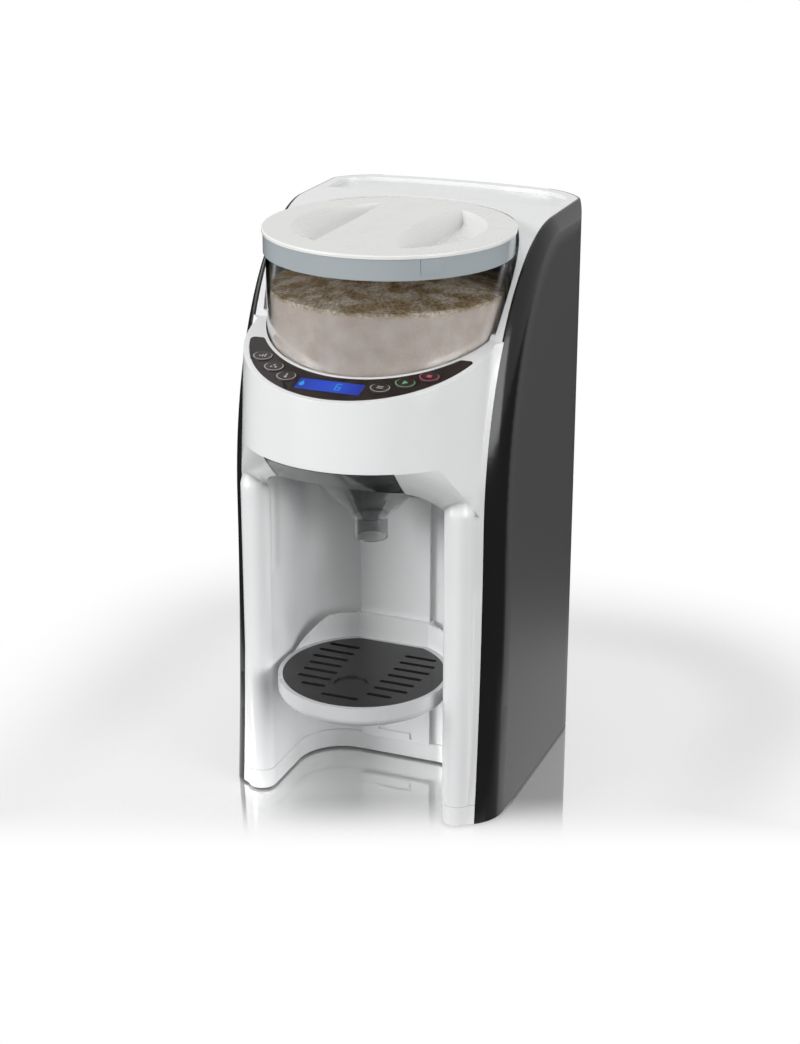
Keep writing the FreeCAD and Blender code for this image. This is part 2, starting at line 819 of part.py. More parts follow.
def node(name, item):
    """Names a finished sub-part; its label names its file."""
    item.Label = name
    PARTS[name] = item


node("front_housing", feature("front_housing", front_housing()))
node("right_side_shell", feature("right_side_shell", side_shell(1)))
node("left_side_shell", feature("left_side_shell", side_shell(-1)))


def outline_solid(inset, y0, z0, z1):
    """The rear part of the footprint, behind y0, inside the shoulders."""
    solid = body_plan(inset, z0, z1)
    return solid.common(box(-FAR, FAR, y0, FAR, z0, z1))


def between(solid, half):
    return solid.common(box(-half, half, -FAR, FAR, -FAR, FAR))


# ---------------------------------------------------------- skirt, base and feet
def base_skirt():
    """The strip under the columns and round the bay."""
    wall = size("shell_wall")
    z0 = size("foot_height")
    z1 = size("skirt_height")
    outer = body_hull(0, z0, z1).fuse(column_rounds(0, z0, z1))
    inner = body_hull(wall, z0 - 1, z1 + 1).fuse(column_rounds(wall, z0 - 1, z1 + 1))
    front = outer.cut(inner).cut(sweep_block(size("seam") / 2, 0, FAR))
    liner = body_hull(0, z0, z1).common(bay(wall, -1))
    strip = front.fuse(liner).common(box(-FAR, FAR, -FAR, size("bay_back") + wall, z0, z1))
    return strip.cut([bay(0, -1)] + edge_rounds(-1, FAR)).removeSplitter()


def base_outline(inset):
    """The plan of the base plate: the body without the bay."""
    z0 = size("foot_height")
    plate = body_hull(inset, z0, z0 + size("base_plate"))
    return plate.cut(bay(inset, -1))


def bottom_cover():
    gap = size("seam")
    plate = base_outline(size("side_wall") + gap)
    for x, y in places(FEET):
        plate = plate.cut(disc(x, y, size("foot_radius") + 0.2, -1,
                               size("foot_height") + size("foot_seat")))
    for x, y in places(COVER_SCREWS):
        plate = plate.cut([disc(x, y, size("screw_radius") + 0.2, -1, SCREW_SEAT),
                           disc(x, y, size("screw_radius") / 2 + 0.2, -1, FAR)])
    border = sweep_block(0, 0, FAR).cut(sweep_block(size("side_border") + gap, 0, FAR))
    return plate.cut(border.cut(shoulders(0)))


FEET = (mirrored("body_width / 2 - foot_inset", "column_front + foot_inset")
        + mirrored("body_width / 2 - foot_inset", "body_rear - rear_foot_inset")
        + [("0", "bay_back + 16")])
node("base_skirt", feature("base_skirt", base_skirt()))
node("bottom_cover", feature("bottom_cover", bottom_cover()))
feet = [cylinder("foot_%d" % k, (x, y, "0"), "foot_radius", "foot_height + foot_seat")
        for k, (x, y) in enumerate(FEET)]
group = doc.addObject("Part::Compound", "rubber_feet")
group.Links = feet
node("rubber_feet", group)
screws = []
for k, (x, y) in enumerate(COVER_SCREWS):
    head_ = cylinder("screw_head_%d" % k, (x, y, "foot_height"),
                     "screw_radius", "base_plate - 1.1")
    shank = cylinder("screw_shank_%d" % k, (x, y, "foot_height + base_plate - 1.2"),
                     "screw_radius / 2", "screw_length")
    screws.append(joined("screw_%d" % k, head_, shank))
group = doc.addObject("Part::Compound", "cover_screws")
group.Links = screws
node("cover_screws", group)


# ---------------------------------------------------------------- chassis and rear
PUMP_FOOT = size("foot_height") + size("base_plate") + 0.2
PUMP_MID = PUMP_FOOT + size("pump_height") * 0.6


def chassis_frame():
    """The wall behind the mechanism with the shelf that carries the tank."""
    gap = size("seam")
    front = size("tank_front") - size("wall_gap")
    z0 = size("foot_height") + size("base_plate")
    half = size("shoulder_half") - size("shell_wall") - gap
    wall = box(-half, half, front, front + 2.4, z0, size("body_top") - size("shell_wall") - gap)
    shelf = outline_solid(size("tank_inset") + gap, front, size("tank_shelf"),
                          size("tank_shelf") + size("shelf_thick"))
    shelf = between(shelf, size("tank_half"))
    rear_screws = places(COVER_SCREWS[2:])
    posts = [box(x - 4, x + 4, front + 2.4, y + 20, z0, size("tank_shelf"))
             for x, y in rear_screws]
    frame = wall.fuse([shelf] + posts)
    tools = [disc(x, y, size("screw_radius") / 2 + size("run_gap"), 0,
                  z0 + size("screw_length")) for x, y in rear_screws]
    tools.append(disc(size("valve_x"), size("valve_y"), size("socket_radius") + size("run_gap"),
                      size("tank_shelf") - 1, size("tank_shelf") + 5))
    tools.append(Part.makeCylinder(size("hose_radius") + 0.5, 20,
                                   Vector(size("valve_x"), front - 5, PUMP_MID), Y_AXIS))
    return frame.cut(tools).removeSplitter()


def rear_cover():
    """The dark panel under the tank, with the inlet, the switch and the vents."""
    wall = size("shell_wall")
    z0 = size("foot_height")
    cover = body_hull(0, z0, size("tank_foot") - 2.5).cut(body_hull(wall, z0 - 1, FAR))
    cover = cover.common(box(-FAR, FAR, size("tank_front") + size("panel_back"), FAR, -1, FAR))
    cover = between(cover, size("rear_panel_half") - size("seam") / 2)
    openings = [box(x - wide / 2, x + wide / 2, 0, FAR, z - tall / 2, z + tall / 2)
                for x, z, wide, tall in REAR_HOLES]
    half = size("rear_panel_half / 2")
    openings += [box(-half, half, 0, FAR, z - 1.5, z + 1.5) for z in VENT_HEIGHTS]
    return cover.cut(openings)


INLET = (23.0, 17.0)
SWITCH = (22.0, 15.0)
REAR_HOLES = [(size("inlet_x"), size("socket_height"), INLET[0] + 0.4, INLET[1] + 0.4),
              (size("switch_x"), size("socket_height"), SWITCH[0] + 0.4, SWITCH[1] + 0.4)]
VENT_HEIGHTS = [100.0 + 8 * k for k in range(7)]
node("chassis_frame", feature("chassis_frame", chassis_frame()))
node("rear_cover", feature("rear_cover", rear_cover()))

block("inlet_body", ("inlet_x - 11.5", "body_rear - 22", "socket_height - 8.5"),
      "23", "20.5", "17")
inlet = cut("inlet_hollow", doc.inlet_body,
            block("inlet_mouth", ("inlet_x - 9", "body_rear - 16", "socket_height - 6"),
                  "18", "20", "12"))
pins = [cylinder("inlet_pin_%d" % k, ("inlet_x + %g" % x, "body_rear - 16.5",
                                      "socket_height"), "1.2", "11",
                 turn=(X_AXIS, -90)) for k, x in enumerate((-4.3, 4.3))]
node("power_inlet", joined("power_inlet", inlet, *pins))
switch_case = cut("switch_case",
                  block("switch_block", ("switch_x - 11", "body_rear - 20",
                                         "socket_height - 7.5"), "22", "18.6", "15"),
                  block("switch_well", ("switch_x - 9.8", "body_rear - 10.6",
                                        "socket_height - 5.6"), "19.6", "12", "11.2"))
node("switch_housing", switch_case)


def rocker():
    """A rocker bent in the middle, with ends round its pivot."""
    y = size("body_rear") - 3.4
    z = size("socket_height") - 5.2
    x = size("switch_x")
    edges = straight((x - 10, y - 2.4, z), (x - 10, y + 3.4, z), (x, y + 1.0, z),
                     (x + 10, y + 1.6, z), (x + 10, y - 2.4, z), (x, y - 4.8, z),
                     (x - 10, y - 2.4, z))
    return prism(edges, Vector(0, 0, 10.4)).common(disc(x, y, 9.5, z, z + 10.4))


node("power_switch", feature("power_switch", rocker()))


# -------------------------------------------------------------------- water side
def tank_outline(inset):
    """The tank's plan: inside the side shells, with a panel at the rear."""
    z0 = size("tank_foot")
    z1 = size("tank_top")
    inner = between(outline_solid(size("tank_inset") + inset, size("tank_front") + inset,
                                  z0, z1), size("tank_half") - inset)
    panel = between(outline_solid(inset, size("tank_front") + size("tank_bow_back"), z0, z1),
                    size("tank_panel_half") - inset)
    return inner.fuse(panel).removeSplitter()


def water_tank():
    wall = size("tank_wall")
    outer = tank_outline(0)
    hollow = tank_outline(wall).translated(Vector(0, 0, wall))
    tank = outer.cut(hollow)
    half = size("grip_width") / 2
    grip_y = size("body_rear") - size("grip_depth")
    z1 = size("tank_top") - size("grip_drop")
    z0 = z1 - size("grip_height")
    grip = box(-half, half, grip_y, FAR, z0, z1)
    ledge = outer.common(box(-half - wall, half + wall, grip_y - wall, FAR,
                             z0 - wall, z1 + wall))
    tank = tank.fuse(ledge).cut(grip)
    stub = disc(size("valve_x"), size("valve_y"), 8.0, size("tank_foot") - 2.2,
                size("tank_foot") + 8)
    bore = disc(size("valve_x"), size("valve_y"), 5.0, 0, size("tank_foot") + 9)
    return tank.fuse(stub).cut(bore).removeSplitter()


def tank_lid():
    """The white rear deck, which covers the tank, with a raised rim."""
    top = size("body_top")
    foot = size("tank_top") + size("seam")
    front = size("tank_front") - 0.5
    half = size("shoulder_half")
    rim = size("lid_rim")
    lid = between(outline_solid(size("lid_inset"), front, foot, top), half)
    dip = between(outline_solid(size("lid_inset") + rim, front - 1, top - size("lid_dip"),
                                FAR), half - rim)
    hollow = between(outline_solid(size("lid_inset") + 4, front + 3, 0, foot + 2.2), half - 4)
    return lid.cut([dip, hollow])


node("water_tank", feature("water_tank", water_tank()))
node("tank_lid", feature("tank_lid", tank_lid()))
node("tank_valve", revolved("tank_valve", [
    ("0", "0"), ("2", "0"), ("2", "9"), ("4.6", "9"), ("4.6", "12"), ("0", "12")],
    ("valve_x", "valve_y", "tank_foot - stem_drop")))
node("valve_seal", revolved("valve_seal", [
    ("2.4", "0"), ("4.9", "0"), ("4.9", "1.6"), ("2.4", "1.6")],
    ("valve_x", "valve_y", "tank_foot + 5.4")))
PIN_TOP = "socket_drop + shelf_gap - stem_drop - valve_gap"
node("valve_socket", revolved("valve_socket", [
    ("0", "0"), ("4.4", "0"), ("4.4", "6"), ("socket_radius", "6"),
    ("socket_radius", "9.4"), ("6", "9.4"), ("6", "7.4"), ("1.4", "7.4"),
    ("1.4", PIN_TOP), ("0", PIN_TOP)],
    ("valve_x", "valve_y", "tank_shelf - socket_drop")))


def hose(points, bend):
    """A tube along straight runs joined by tangent arcs of one radius."""
    corners = [Vector(*point) for point in points]
    edges = []
    start = corners[0]
    for before, corner, after in zip(corners, corners[1:], corners[2:]):
        arrive = (corner - before).normalize()
        leave = (after - corner).normalize()
        turn = arrive.getAngle(leave)
        reach = bend * math.tan(turn / 2)
        inner = corner + (leave - arrive).normalize() * bend * (1 / math.cos(turn / 2) - 1)
        first = corner - arrive * reach
        last = corner + leave * reach
        edges.append(Part.LineSegment(start, first).toShape())
        edges.append(Part.Arc(first, inner, last).toShape())
        start = last
    edges.append(Part.LineSegment(start, corners[-1]).toShape())
    path = Part.Wire(edges)
    direction = (corners[1] - corners[0]).normalize()
    ring = [Part.Wire(Part.makeCircle(radius, corners[0], direction))
            for radius in (size("hose_radius"), size("hose_bore"))]
    outer, inner = [path.makePipeShell([circle], True, False) for circle in ring]
    return outer.cut(inner)


PUMP = (size("valve_x"), size("pump_y"))
PORT = size("pump_radius") + size("port_length")  # end of the pump's ports
node("water_pump", joined(
    "water_pump",
    cylinder("pump_body", ("valve_x", "pump_y", str(PUMP_FOOT)), "pump_radius",
             "pump_height"),
    cylinder("pump_in", ("valve_x", "pump_y", str(PUMP_MID)), "hose_radius",
             "pump_radius + port_length", turn=(X_AXIS, -90)),
    cylinder("pump_out", ("valve_x", "pump_y", str(PUMP_MID)), "hose_radius",
             "pump_radius + port_length", turn=(Y_AXIS, 90))))
heater = (size("heater_x"), size("heater_y"))
node("heater", joined(
    "heater",
    cylinder("boiler", ("heater_x", "heater_y", "heater_foot"), "heater_radius",
             "heater_height"),
    cylinder("boiler_in", ("heater_x", "heater_y", "heater_foot - 6"), "hose_radius", "6"),
    cylinder("boiler_out", ("heater_x", "heater_y", "heater_foot + heater_height"),
             "hose_radius", "6")))
stay = cut("stay_ring",
           block("stay_block", ("heater_x - heater_radius - 3", "heater_y",
                                "heater_foot + stay_lift"),
                 "2 * heater_radius + 6", "tank_front - wall_gap - heater_y", "stay_height"),
           cylinder("stay_bore", ("heater_x", "heater_y", "heater_foot"),
                    "heater_radius + run_gap", "heater_height"))
node("heater_bracket", stay)
tank_hose_top = size("tank_shelf") - size("socket_drop")
node("tank_hose", feature("tank_hose", hose(
    [(PUMP[0], size("valve_y"), tank_hose_top), (PUMP[0], size("valve_y"), PUMP_MID),
     (PUMP[0], PUMP[1] + PORT, PUMP_MID)], 20.0)))
node("pump_hose", feature("pump_hose", hose(
    [(PUMP[0] + PORT, PUMP[1], PUMP_MID), (heater[0] - 16, PUMP[1], PUMP_MID),
     (heater[0], heater[1], PUMP_MID), (heater[0], heater[1], size("heater_foot") - 6)], 8.0)))
nozzle_x = heater[0]
nozzle_y = size("well_y") - size("outlet_offset") + 4
node("nozzle_hose", feature("nozzle_hose", hose(
    [(heater[0], heater[1], size("heater_foot") + size("heater_height") + 6),
     (heater[0], heater[1], size("nozzle_height")),
     (nozzle_x, nozzle_y + 8, size("nozzle_height"))], 22.0)))
nozzle_parts = joined(
    "nozzle_solid",
    cylinder("nozzle_tube", ("heater_x", str(nozzle_y), "nozzle_height - nozzle_drop"),
             "nozzle_radius", "nozzle_length"),
    cylinder("nozzle_port", ("heater_x", str(nozzle_y), "nozzle_height"), "hose_radius", "8",
             turn=(X_AXIS, -90)))
node("water_nozzle", cut("water_nozzle", nozzle_parts,
                         cylinder("nozzle_bore", ("heater_x", str(nozzle_y),
                                                  "nozzle_height - nozzle_drop - 1"),
                                  "nozzle_radius / 2", "nozzle_drop")))


# ------------------------------------------------- powder container and contents
CONTAINER_PLACE = ("0", "well_y", "well_floor + well_floor_wall + seam")
container_wall = revolved("container_wall_body", [
    ("stub_radius + run_gap", "container_foot"), ("container_radius - 6", "container_foot"),
    ("container_radius - 6", "0"), ("container_radius", "0"),
    ("container_radius", "container_top - well_floor - well_floor_wall - seam"),
    ("container_radius - container_wall",
     "container_top - well_floor - well_floor_wall - seam"),
    ("container_radius - container_wall", "container_foot + container_wall"),
    ("stub_radius + run_gap", "container_foot + container_wall")], CONTAINER_PLACE)
outlet = cylinder("container_outlet", ("0", "well_y - outlet_offset", "well_floor"),
                  "outlet_radius", "20")
node("powder_container", cut("powder_container", container_wall, outlet))

ring = revolved("collar_ring", [
    ("container_radius + run_gap", "0"), ("collar_radius", "0"),
    ("collar_radius", "collar_height"), ("container_radius + run_gap", "collar_height")],
    ("0", "well_y", "container_top - collar_height"))
mark = cut("collar_mark",
           shared("mark_arc",
                  cylinder("mark_round", ("0", "well_y", "container_top - 9.2"),
                           "collar_radius + 0.5", "mark_height"),
                  block("mark_block", ("collar_radius * 0.65 - mark_half",
                                       "well_y - collar_radius", "container_top - 9.2"),
                        "2 * mark_half", "collar_radius / 2", "mark_height")),
           cylinder("mark_inner", ("0", "well_y", "container_top - 10"),
                    "collar_radius - 0.5", "mark_height + 2"))
node("container_collar", joined("container_collar", ring, mark))


def lens(near, far, corner, reach, z):
    """A closed outline of two arcs that meet at (corner, -reach) and (corner, reach)."""
    y = size("well_y")
    front = Vector(corner, y - reach, z)
    rear = Vector(corner, y + reach, z)
    return Part.Wire([Part.Arc(front, Vector(near, y, z), rear).toShape(),
                      Part.Arc(rear, Vector(far, y, z), front).toShape()])


def scoop(side, waist, crease, grow, top):
    """One finger recess of the lid, from a height down to its crease."""
    corner = size("grip_half")
    outer = size("scoop_radius")
    reach = math.sqrt(outer ** 2 - corner ** 2) + grow
    low = size("container_top") + size("seam") + size("lid_thick") - size("scoop_depth") - grow
    fold = corner + crease
    upper = lens(side * (corner - waist - grow), side * (outer + grow), side * corner,
                 reach, top)
    lower = lens(side * (fold - 1 - grow), side * (fold + 1 + grow), side * fold,
                 0.8 * reach, low)
    return Part.makeLoft([upper, lower], True, True)


def container_lid():
    y = size("well_y")
    foot = size("container_top") + size("seam")
    top = foot + size("lid_thick")
    wall = size("container_wall")
    plug = disc(0, y, size("lid_plug"), foot - size("lid_plug_depth"), foot)
    plug = plug.cut(disc(0, y, size("lid_plug") - wall, 0, FAR))
    seal_z = foot - size("seal_drop")
    groove = disc(0, y, FAR, seal_z - 0.2, seal_z + size("seal_height") + 0.2)
    groove = groove.cut(disc(0, y, size("lid_plug") - size("seal_depth"), 0, FAR))
    lid = disc(0, y, size("lid_radius"), foot, top).fuse(plug).cut(groove)
    sides = ((1, size("grip_waist"), size("scoop_crease")),
             (-1, size("grip_waist_left"), size("scoop_crease_left")))
    for side, waist, crease in sides:
        lid = lid.fuse(scoop(side, waist, crease, wall, top - size("seam")))
    for side, waist, crease in sides:
        lid = lid.cut(scoop(side, waist, crease, 0, top + size("seam")))
    lid = lid.removeSplitter()
    rim = [edge for edge in lid.Edges if edge.BoundBox.ZMin > top - 0.01
           and edge.BoundBox.XLength > 2 * size("lid_radius") - 1]
    return lid.makeFillet(1.0, rim)


node("container_lid", feature("container_lid", container_lid()))
SEAL_INSIDE = "lid_plug - seal_depth + run_gap"
SEAL_OUTSIDE = "container_radius - container_wall - run_gap"
node("lid_seal", revolved("lid_seal", [
    (SEAL_INSIDE, "0"), (SEAL_OUTSIDE, "0"), (SEAL_OUTSIDE, "seal_height"),
    (SEAL_INSIDE, "seal_height")],
    ("0", "well_y", "container_top + seam - seal_drop")))

# the scraper bridges the wheel; the powder lies above both
INSIDE_FLOOR = "well_floor + well_floor_wall + seam + container_foot + container_wall"
wheel_z = size(INSIDE_FLOOR + " + 2 * seam + disc_thick")
scraper_z = wheel_z + size("wheel_height") + size("scraper_gap")


def powder():
    low = scraper_z + size("scraper_thick") + size("seam")
    radius = size("container_radius") - size("container_wall") - size("seam")
    y = size("well_y")
    level = size("powder_height")
    body = disc(0, y, radius, low, level)
    heap = Part.makeCone(radius, radius * 0.2, size("powder_heap"), Vector(0, y, level))
    return body.fuse(heap).removeSplitter()


def scraper():
    y = size("well_y")
    radius = size("container_radius") - size("container_wall") - size("run_gap")
    floor = wheel_z - size("seam") - size("disc_thick") - size("seam")
    half = size("scraper_half")
    top = scraper_z + size("scraper_thick")
    plate = box(-half, half, y - radius - 5, y - 16, scraper_z, top)
    leg = box(-half, half, y - FAR, y, floor, top)
    leg = leg.cut(disc(0, y, size("wheel_radius") + 1.5, 0, FAR))
    return plate.fuse(leg).common(disc(0, y, radius, 0, FAR)).removeSplitter()


def mixing_wheel():
    """A hub, arms and a ring that stir the powder, on a shaft with a hexagon end."""
    y = size("well_y")
    top = wheel_z + size("wheel_height")
    hub = disc(0, y, size("hub_radius"), wheel_z, top)
    round_end = size("well_floor") + size("well_floor_wall") + 2.6
    stub = disc(0, y, size("stub_radius"), round_end, wheel_z)
    hexagon = hexagon_bar(size("hex_half"), round_end - size("hex_length"), round_end)
    ring_ = disc(0, y, size("wheel_radius"), wheel_z, top)
    ring_ = ring_.cut(disc(0, y, size("wheel_radius") - size("wheel_arm"), 0, FAR))
    arms = []
    for k in range(6):
        arm = box(size("hub_radius") - 1, size("wheel_radius") - 1, -size("wheel_arm") / 2,
                  size("wheel_arm") / 2, wheel_z, top)
        arm.Placement = FreeCAD.Placement(Vector(0, y, 0), Rotation(Z_AXIS, 60 * k))
        arms.append(arm)
    return hub.fuse([stub, hexagon, ring_] + arms).removeSplitter()


def hexagon_bar(half, z0, z1):
    """A hexagonal bar about the container's axis, half its width across flats."""
    radius = half / math.cos(math.pi / 6)
    corners = [(radius * math.cos(math.pi / 3 * k),
                size("well_y") + radius * math.sin(math.pi / 3 * k), z0) for k in range(6)]
    return prism(straight(*corners, corners[0]), Vector(0, 0, z1 - z0))


node("formula_powder", feature("formula_powder", powder()))
node("scraper", feature("scraper", scraper()))
node("mixing_wheel", feature("mixing_wheel", mixing_wheel()))
disc_plate = cylinder("disc_plate", ("0", "well_y", INSIDE_FLOOR + " + seam"),
                      "outlet_offset + outlet_radius + 3", "disc_thick")
holes = [cylinder("disc_bore", ("0", "well_y", "well_floor"), "stub_radius + run_gap", "20")]
for k in range(6):
    angle = math.pi / 3 * k + math.pi / 6
    holes.append(cylinder("pocket_%d" % k, ("outlet_offset * %.6f" % math.cos(angle),
                                            "well_y + outlet_offset * %.6f" % math.sin(angle),
                                            "well_floor"), "outlet_radius - 1", "20"))
node("dosing_disc", cut("dosing_disc", disc_plate, *holes))


# ---------------------------------------------------------------- dosing drive
def gear_blank(teeth, centre_y, start, z0, z1):
    """A spur gear with involute flanks; one tooth is centred on the angle start."""
    module = size("gear_module")
    pitch = module * teeth / 2
    base = pitch * math.cos(math.radians(20))
    tip = pitch + module
    root = pitch - 1.25 * module
    slack = size("gear_slack") / (2 * pitch)
    half_tooth = math.pi / (2 * teeth) - slack

    def spread(radius):
        if radius <= base:
            return 0.0
        roll = math.acos(base / radius)
        return math.tan(roll) - roll

    radii = [root, max(root, base)] + [base + (tip - base) * s for s in (0.25, 0.6, 1.0)]
    points = []
    for tooth in range(int(teeth)):
        middle = start + 2 * math.pi * tooth / teeth
        half = [half_tooth + spread(pitch) - spread(r) for r in radii]
        points += [(r, middle - h) for r, h in zip(radii, half)]
        points += [(r, middle + h) for r, h in reversed(list(zip(radii, half)))]
    corners = [(r * math.cos(a), centre_y + r * math.sin(a), z0) for r, a in points]
    return prism(straight(*corners, corners[0]), Vector(0, 0, z1 - z0))


def drive_gear():
    y = size("well_y")
    z0 = size("gear_height")
    z1 = z0 + size("gear_width")
    top = size("well_floor") + size("well_floor_wall") + 1.8
    gear = gear_blank(size("drive_teeth"), y, math.pi / 2, z0, z1)
    gear = gear.fuse(disc(0, y, size("hub_radius"), z0, top))
    socket = hexagon_bar(size("hex_half") + 0.15, top - size("hex_length") - 0.4, top + 1)
    bore = disc(0, y, size("axle_radius") + size("run_gap"), 0, top - 8.0)
    return gear.cut([socket, bore]).removeSplitter()


def pinion_y():
    return size("well_y") + size("gear_module") * (size("drive_teeth")
                                                   + size("pinion_teeth")) / 2


def motor_pinion():
    z0 = size("gear_height")
    z1 = z0 + size("gear_width")
    teeth = size("pinion_teeth")
    start = -math.pi / 2 + math.pi / teeth
    gear = gear_blank(teeth, pinion_y(), start, z0, z1)
    shaft = disc(0, pinion_y(), size("shaft_radius"), plate_z - SHAFT_REACH, z1)
    return gear.fuse(shaft).removeSplitter()


MOTOR_Y = "well_y + gear_module * (drive_teeth + pinion_teeth) / 2"
MOTOR_TOP = "gear_height - gear_lift - gear_plate"
SHAFT_REACH = 8.0  # how far the motor's shaft runs down into it
plate_z = size(MOTOR_TOP)
node("drive_gear", feature("drive_gear", drive_gear()))
node("gear_axle", cylinder("gear_axle", ("0", "well_y", MOTOR_TOP), "axle_radius",
                           "gear_plate + axle_reach"))
node("motor_pinion", feature("motor_pinion", motor_pinion()))
node("gear_motor", cut("gear_motor",
                       cylinder("motor_case", ("0", MOTOR_Y, MOTOR_TOP + " - motor_height"),
                                "motor_radius", "motor_height"),
                       cylinder("motor_bore", ("0", MOTOR_Y, MOTOR_TOP + " - 9"),
                                "shaft_radius + run_gap", "10")))


def gearbox_plate():
    """The plate under the gears, hung from the well's floor by four posts."""
    y = size("well_y")
    half = size("plate_half")
    front = y - size("outlet_offset") + size("chute_radius") + size("chute_gap")
    back = pinion_y() + size("motor_radius")
    plate = box(-half, half, front, back, plate_z, plate_z + size("gear_plate"))
    inset = size("plate_post") + 1
    posts = [disc(x, p, size("plate_post"), plate_z, size("well_floor"))
             for x in (inset - half, half - inset) for p in (front + inset, back - inset)]
    tools = [disc(0, y, size("axle_radius") + size("run_gap"), 0, FAR),
             disc(0, pinion_y(), size("shaft_radius") + 1, 0, FAR)]
    return plate.fuse(posts).cut(tools).removeSplitter()


node("gearbox_plate", feature("gearbox_plate", gearbox_plate()))


def powder_chute():
    """The tube under the outlet, with an ear that holds the water nozzle."""
    y = size("well_y") - size("outlet_offset")
    foot = size("nozzle_height") - 8
    tube = disc(0, y, size("chute_radius"), foot, size("well_floor"))
    ear = box(0, nozzle_x + 8, y - 4, y + 12, foot, foot + 3)
    bores = [disc(0, y, size("outlet_radius") + 0.5, 0, FAR),
             disc(nozzle_x, nozzle_y, size("nozzle_radius") + size("run_gap"), 0, FAR)]
    return tube.fuse(ear).cut(bores).removeSplitter()


node("powder_chute", feature("powder_chute", powder_chute()))


# ----------------------------------------------------------------------- funnel
def funnel():
    """The smoked funnel: visor, dish, cone and spout in one moulding."""
    wall = size("funnel_wall")
    y = size("well_y") - size("outlet_offset")
    under = size("chin_height")
    half = size("funnel_half") - size("flange")
    back = size("funnel_back") - size("seam")
    visor = head(0).cut(head(wall)).common(
        box(-size("funnel_half"), size("funnel_half"), -FAR, size("notch_back"), under,
            size("apron_top")))
    plate = head(0).common(box(-half, half, -FAR, back, under, under + wall))
    lip = box(-half, half, size("notch_back"), back, under, under + 5)
    lip = lip.cut(box(wall - half, half - wall, -FAR, back - wall, 0, FAR))
    ears = [box(min(side * half, side * size("funnel_half")),
                max(side * half, side * size("funnel_half")), size("notch_back"), back,
                under + size("shell_wall") + size("seam"),
                under + size("shell_wall") + size("seam") + wall) for side in (1, -1)]
    reach = size("dish_reach")
    rim_z = size("cone_top")
    neck_z = size("cone_foot")

    def passage(inset, extra):
        rim = size("cone_radius") - inset
        neck = size("spout_radius") + 1.3 - inset
        dish = Part.makeCone(rim, reach - inset, under + wall - rim_z, Vector(0, y, rim_z))
        cone = Part.makeCone(neck, rim, rim_z - neck_z, Vector(0, y, neck_z))
        spout = disc(0, y, size("spout_radius") - inset, size("spout_foot") - extra, neck_z)
        return dish.fuse([cone, spout])

    solid = plate.fuse([lip, passage(0, 0)]).common(box(-half, half, -FAR, back, 0, FAR))
    solid = solid.fuse([visor] + ears)
    return solid.cut(passage(wall, 1)).removeSplitter()


node("funnel", feature("funnel", funnel()))


def funnel_rails():
    """Two brackets on the bay's roof that hold the funnel's edges."""
    roof = size("chin_height") + size("shell_wall")
    gap = size("seam")
    inner = size("funnel_half") + gap
    thick = size("rail_thick")
    over = roof + gap + size("funnel_wall") + gap
    rails = []
    front = size("notch_back") + 7
    for side in (1, -1):
        web = box(inner, inner + thick, front, size("funnel_back"), roof - 3, over + thick)
        cap = box(inner - 2, inner + thick, front, size("funnel_back"), over, over + thick)
        stop = box(inner - 3.3, inner + thick, size("funnel_back"), size("funnel_back") + 2,
                   roof - 3, over + thick)
        rail = web.fuse([cap, stop]).cut(bay(size("shell_wall"), -1)).removeSplitter()
        if side < 0:
            rail = rail.mirror(Vector(), X_AXIS)
        rails.append(rail)
    return rails


for name, rail in zip(("right_funnel_rail", "left_funnel_rail"), funnel_rails()):
    node(name, feature(name, rail))


# ------------------------------------------------------------------------- tray
def tray_rail():
    """An upright rail with a T section on the bay's rear wall."""
    back = size("bay_back")
    mid = back - (size("rail_depth") - size("rail_flange"))
    front = back - size("rail_depth")
    half = size("rail_half")
    z0, z1 = size("rail_foot"), size("rail_top")
    rail = box(size("rail_web") * -1, size("rail_web"), mid, back, z0, z1)
    rail = rail.fuse(box(-half, half, front, mid, z0, z1))
    low = size("tray_top") - 2 * size("notch_step")
    tools = [box(-4, 4, front - 1, front + 1.2, low + size("notch_step") * k - 2,
                 low + size("notch_step") * k + 2) for k in range(4)]
    tools.append(box(-half / 2, half / 2, front - 1, front + 1.2, z0 + 6, z0 + 8))
    tools.append(box(half / 2 - 2, half / 2, front - 1, front + 1.2, z0 + 2, z0 + 8))
    return rail.cut(tools).removeSplitter()


def tray_bracket():
    """The carriage that slides on the rail and carries the tray on two arms."""
    gap = size("slide_gap")
    back = size("bay_back")
    mid = back - (size("rail_depth") - size("rail_flange"))
    front = back - size("rail_depth") - gap
    low = size("tray_top") - size("tray_height") - size("arm_height")
    half = size("rail_half")
    wide = half + size("cheek")
    arm_x = size("arm_inner")
    z0, z1 = low - 12, size("tray_top") + size("guard_rise")
    face = size("tray_back") + gap
    parts = [tray_guard()]
    for side in (1, -1):
        cheek = box(half + gap, wide, front, back - gap, z0, z1)
        lip = box(size("rail_web") + gap, wide, mid + gap, back - gap, z0, z1)
        arm = box(arm_x, arm_x + size("arm_width"), size("tray_y") - 18, face, low,
                  low + size("arm_height") - gap)
        piece = cheek.fuse([lip, arm])
        if side < 0:
            piece = piece.mirror(Vector(), X_AXIS)
        parts.append(piece)
    return box(-wide, wide, face, front, z0, z1).fuse(parts).removeSplitter()


def tray_guard():
    """The carriage's curved wall round the back of the tray, rising to the rear."""
    inner = size("tray_radius") + size("seam")
    z0 = size("tray_top") - size("tray_height")
    z1 = size("tray_top")
    front = size("tray_y") + size("guard_start")
    back = size("tray_back") + size("slide_gap")
    top = z1 + size("guard_rise")
    ring_ = disc(0, size("tray_y"), inner + size("guard_wall"), z0, top)
    ring_ = ring_.cut(disc(0, size("tray_y"), inner, z0 - 1, FAR))
    side = straight((-FAR, front, z0), (-FAR, front, z1 - 3),
                    (-FAR, front + size("guard_length"), top), (-FAR, back, top),
                    (-FAR, back, z0), (-FAR, front, z0))
    return ring_.common(prism(side, Vector(2 * FAR, 0, 0)))


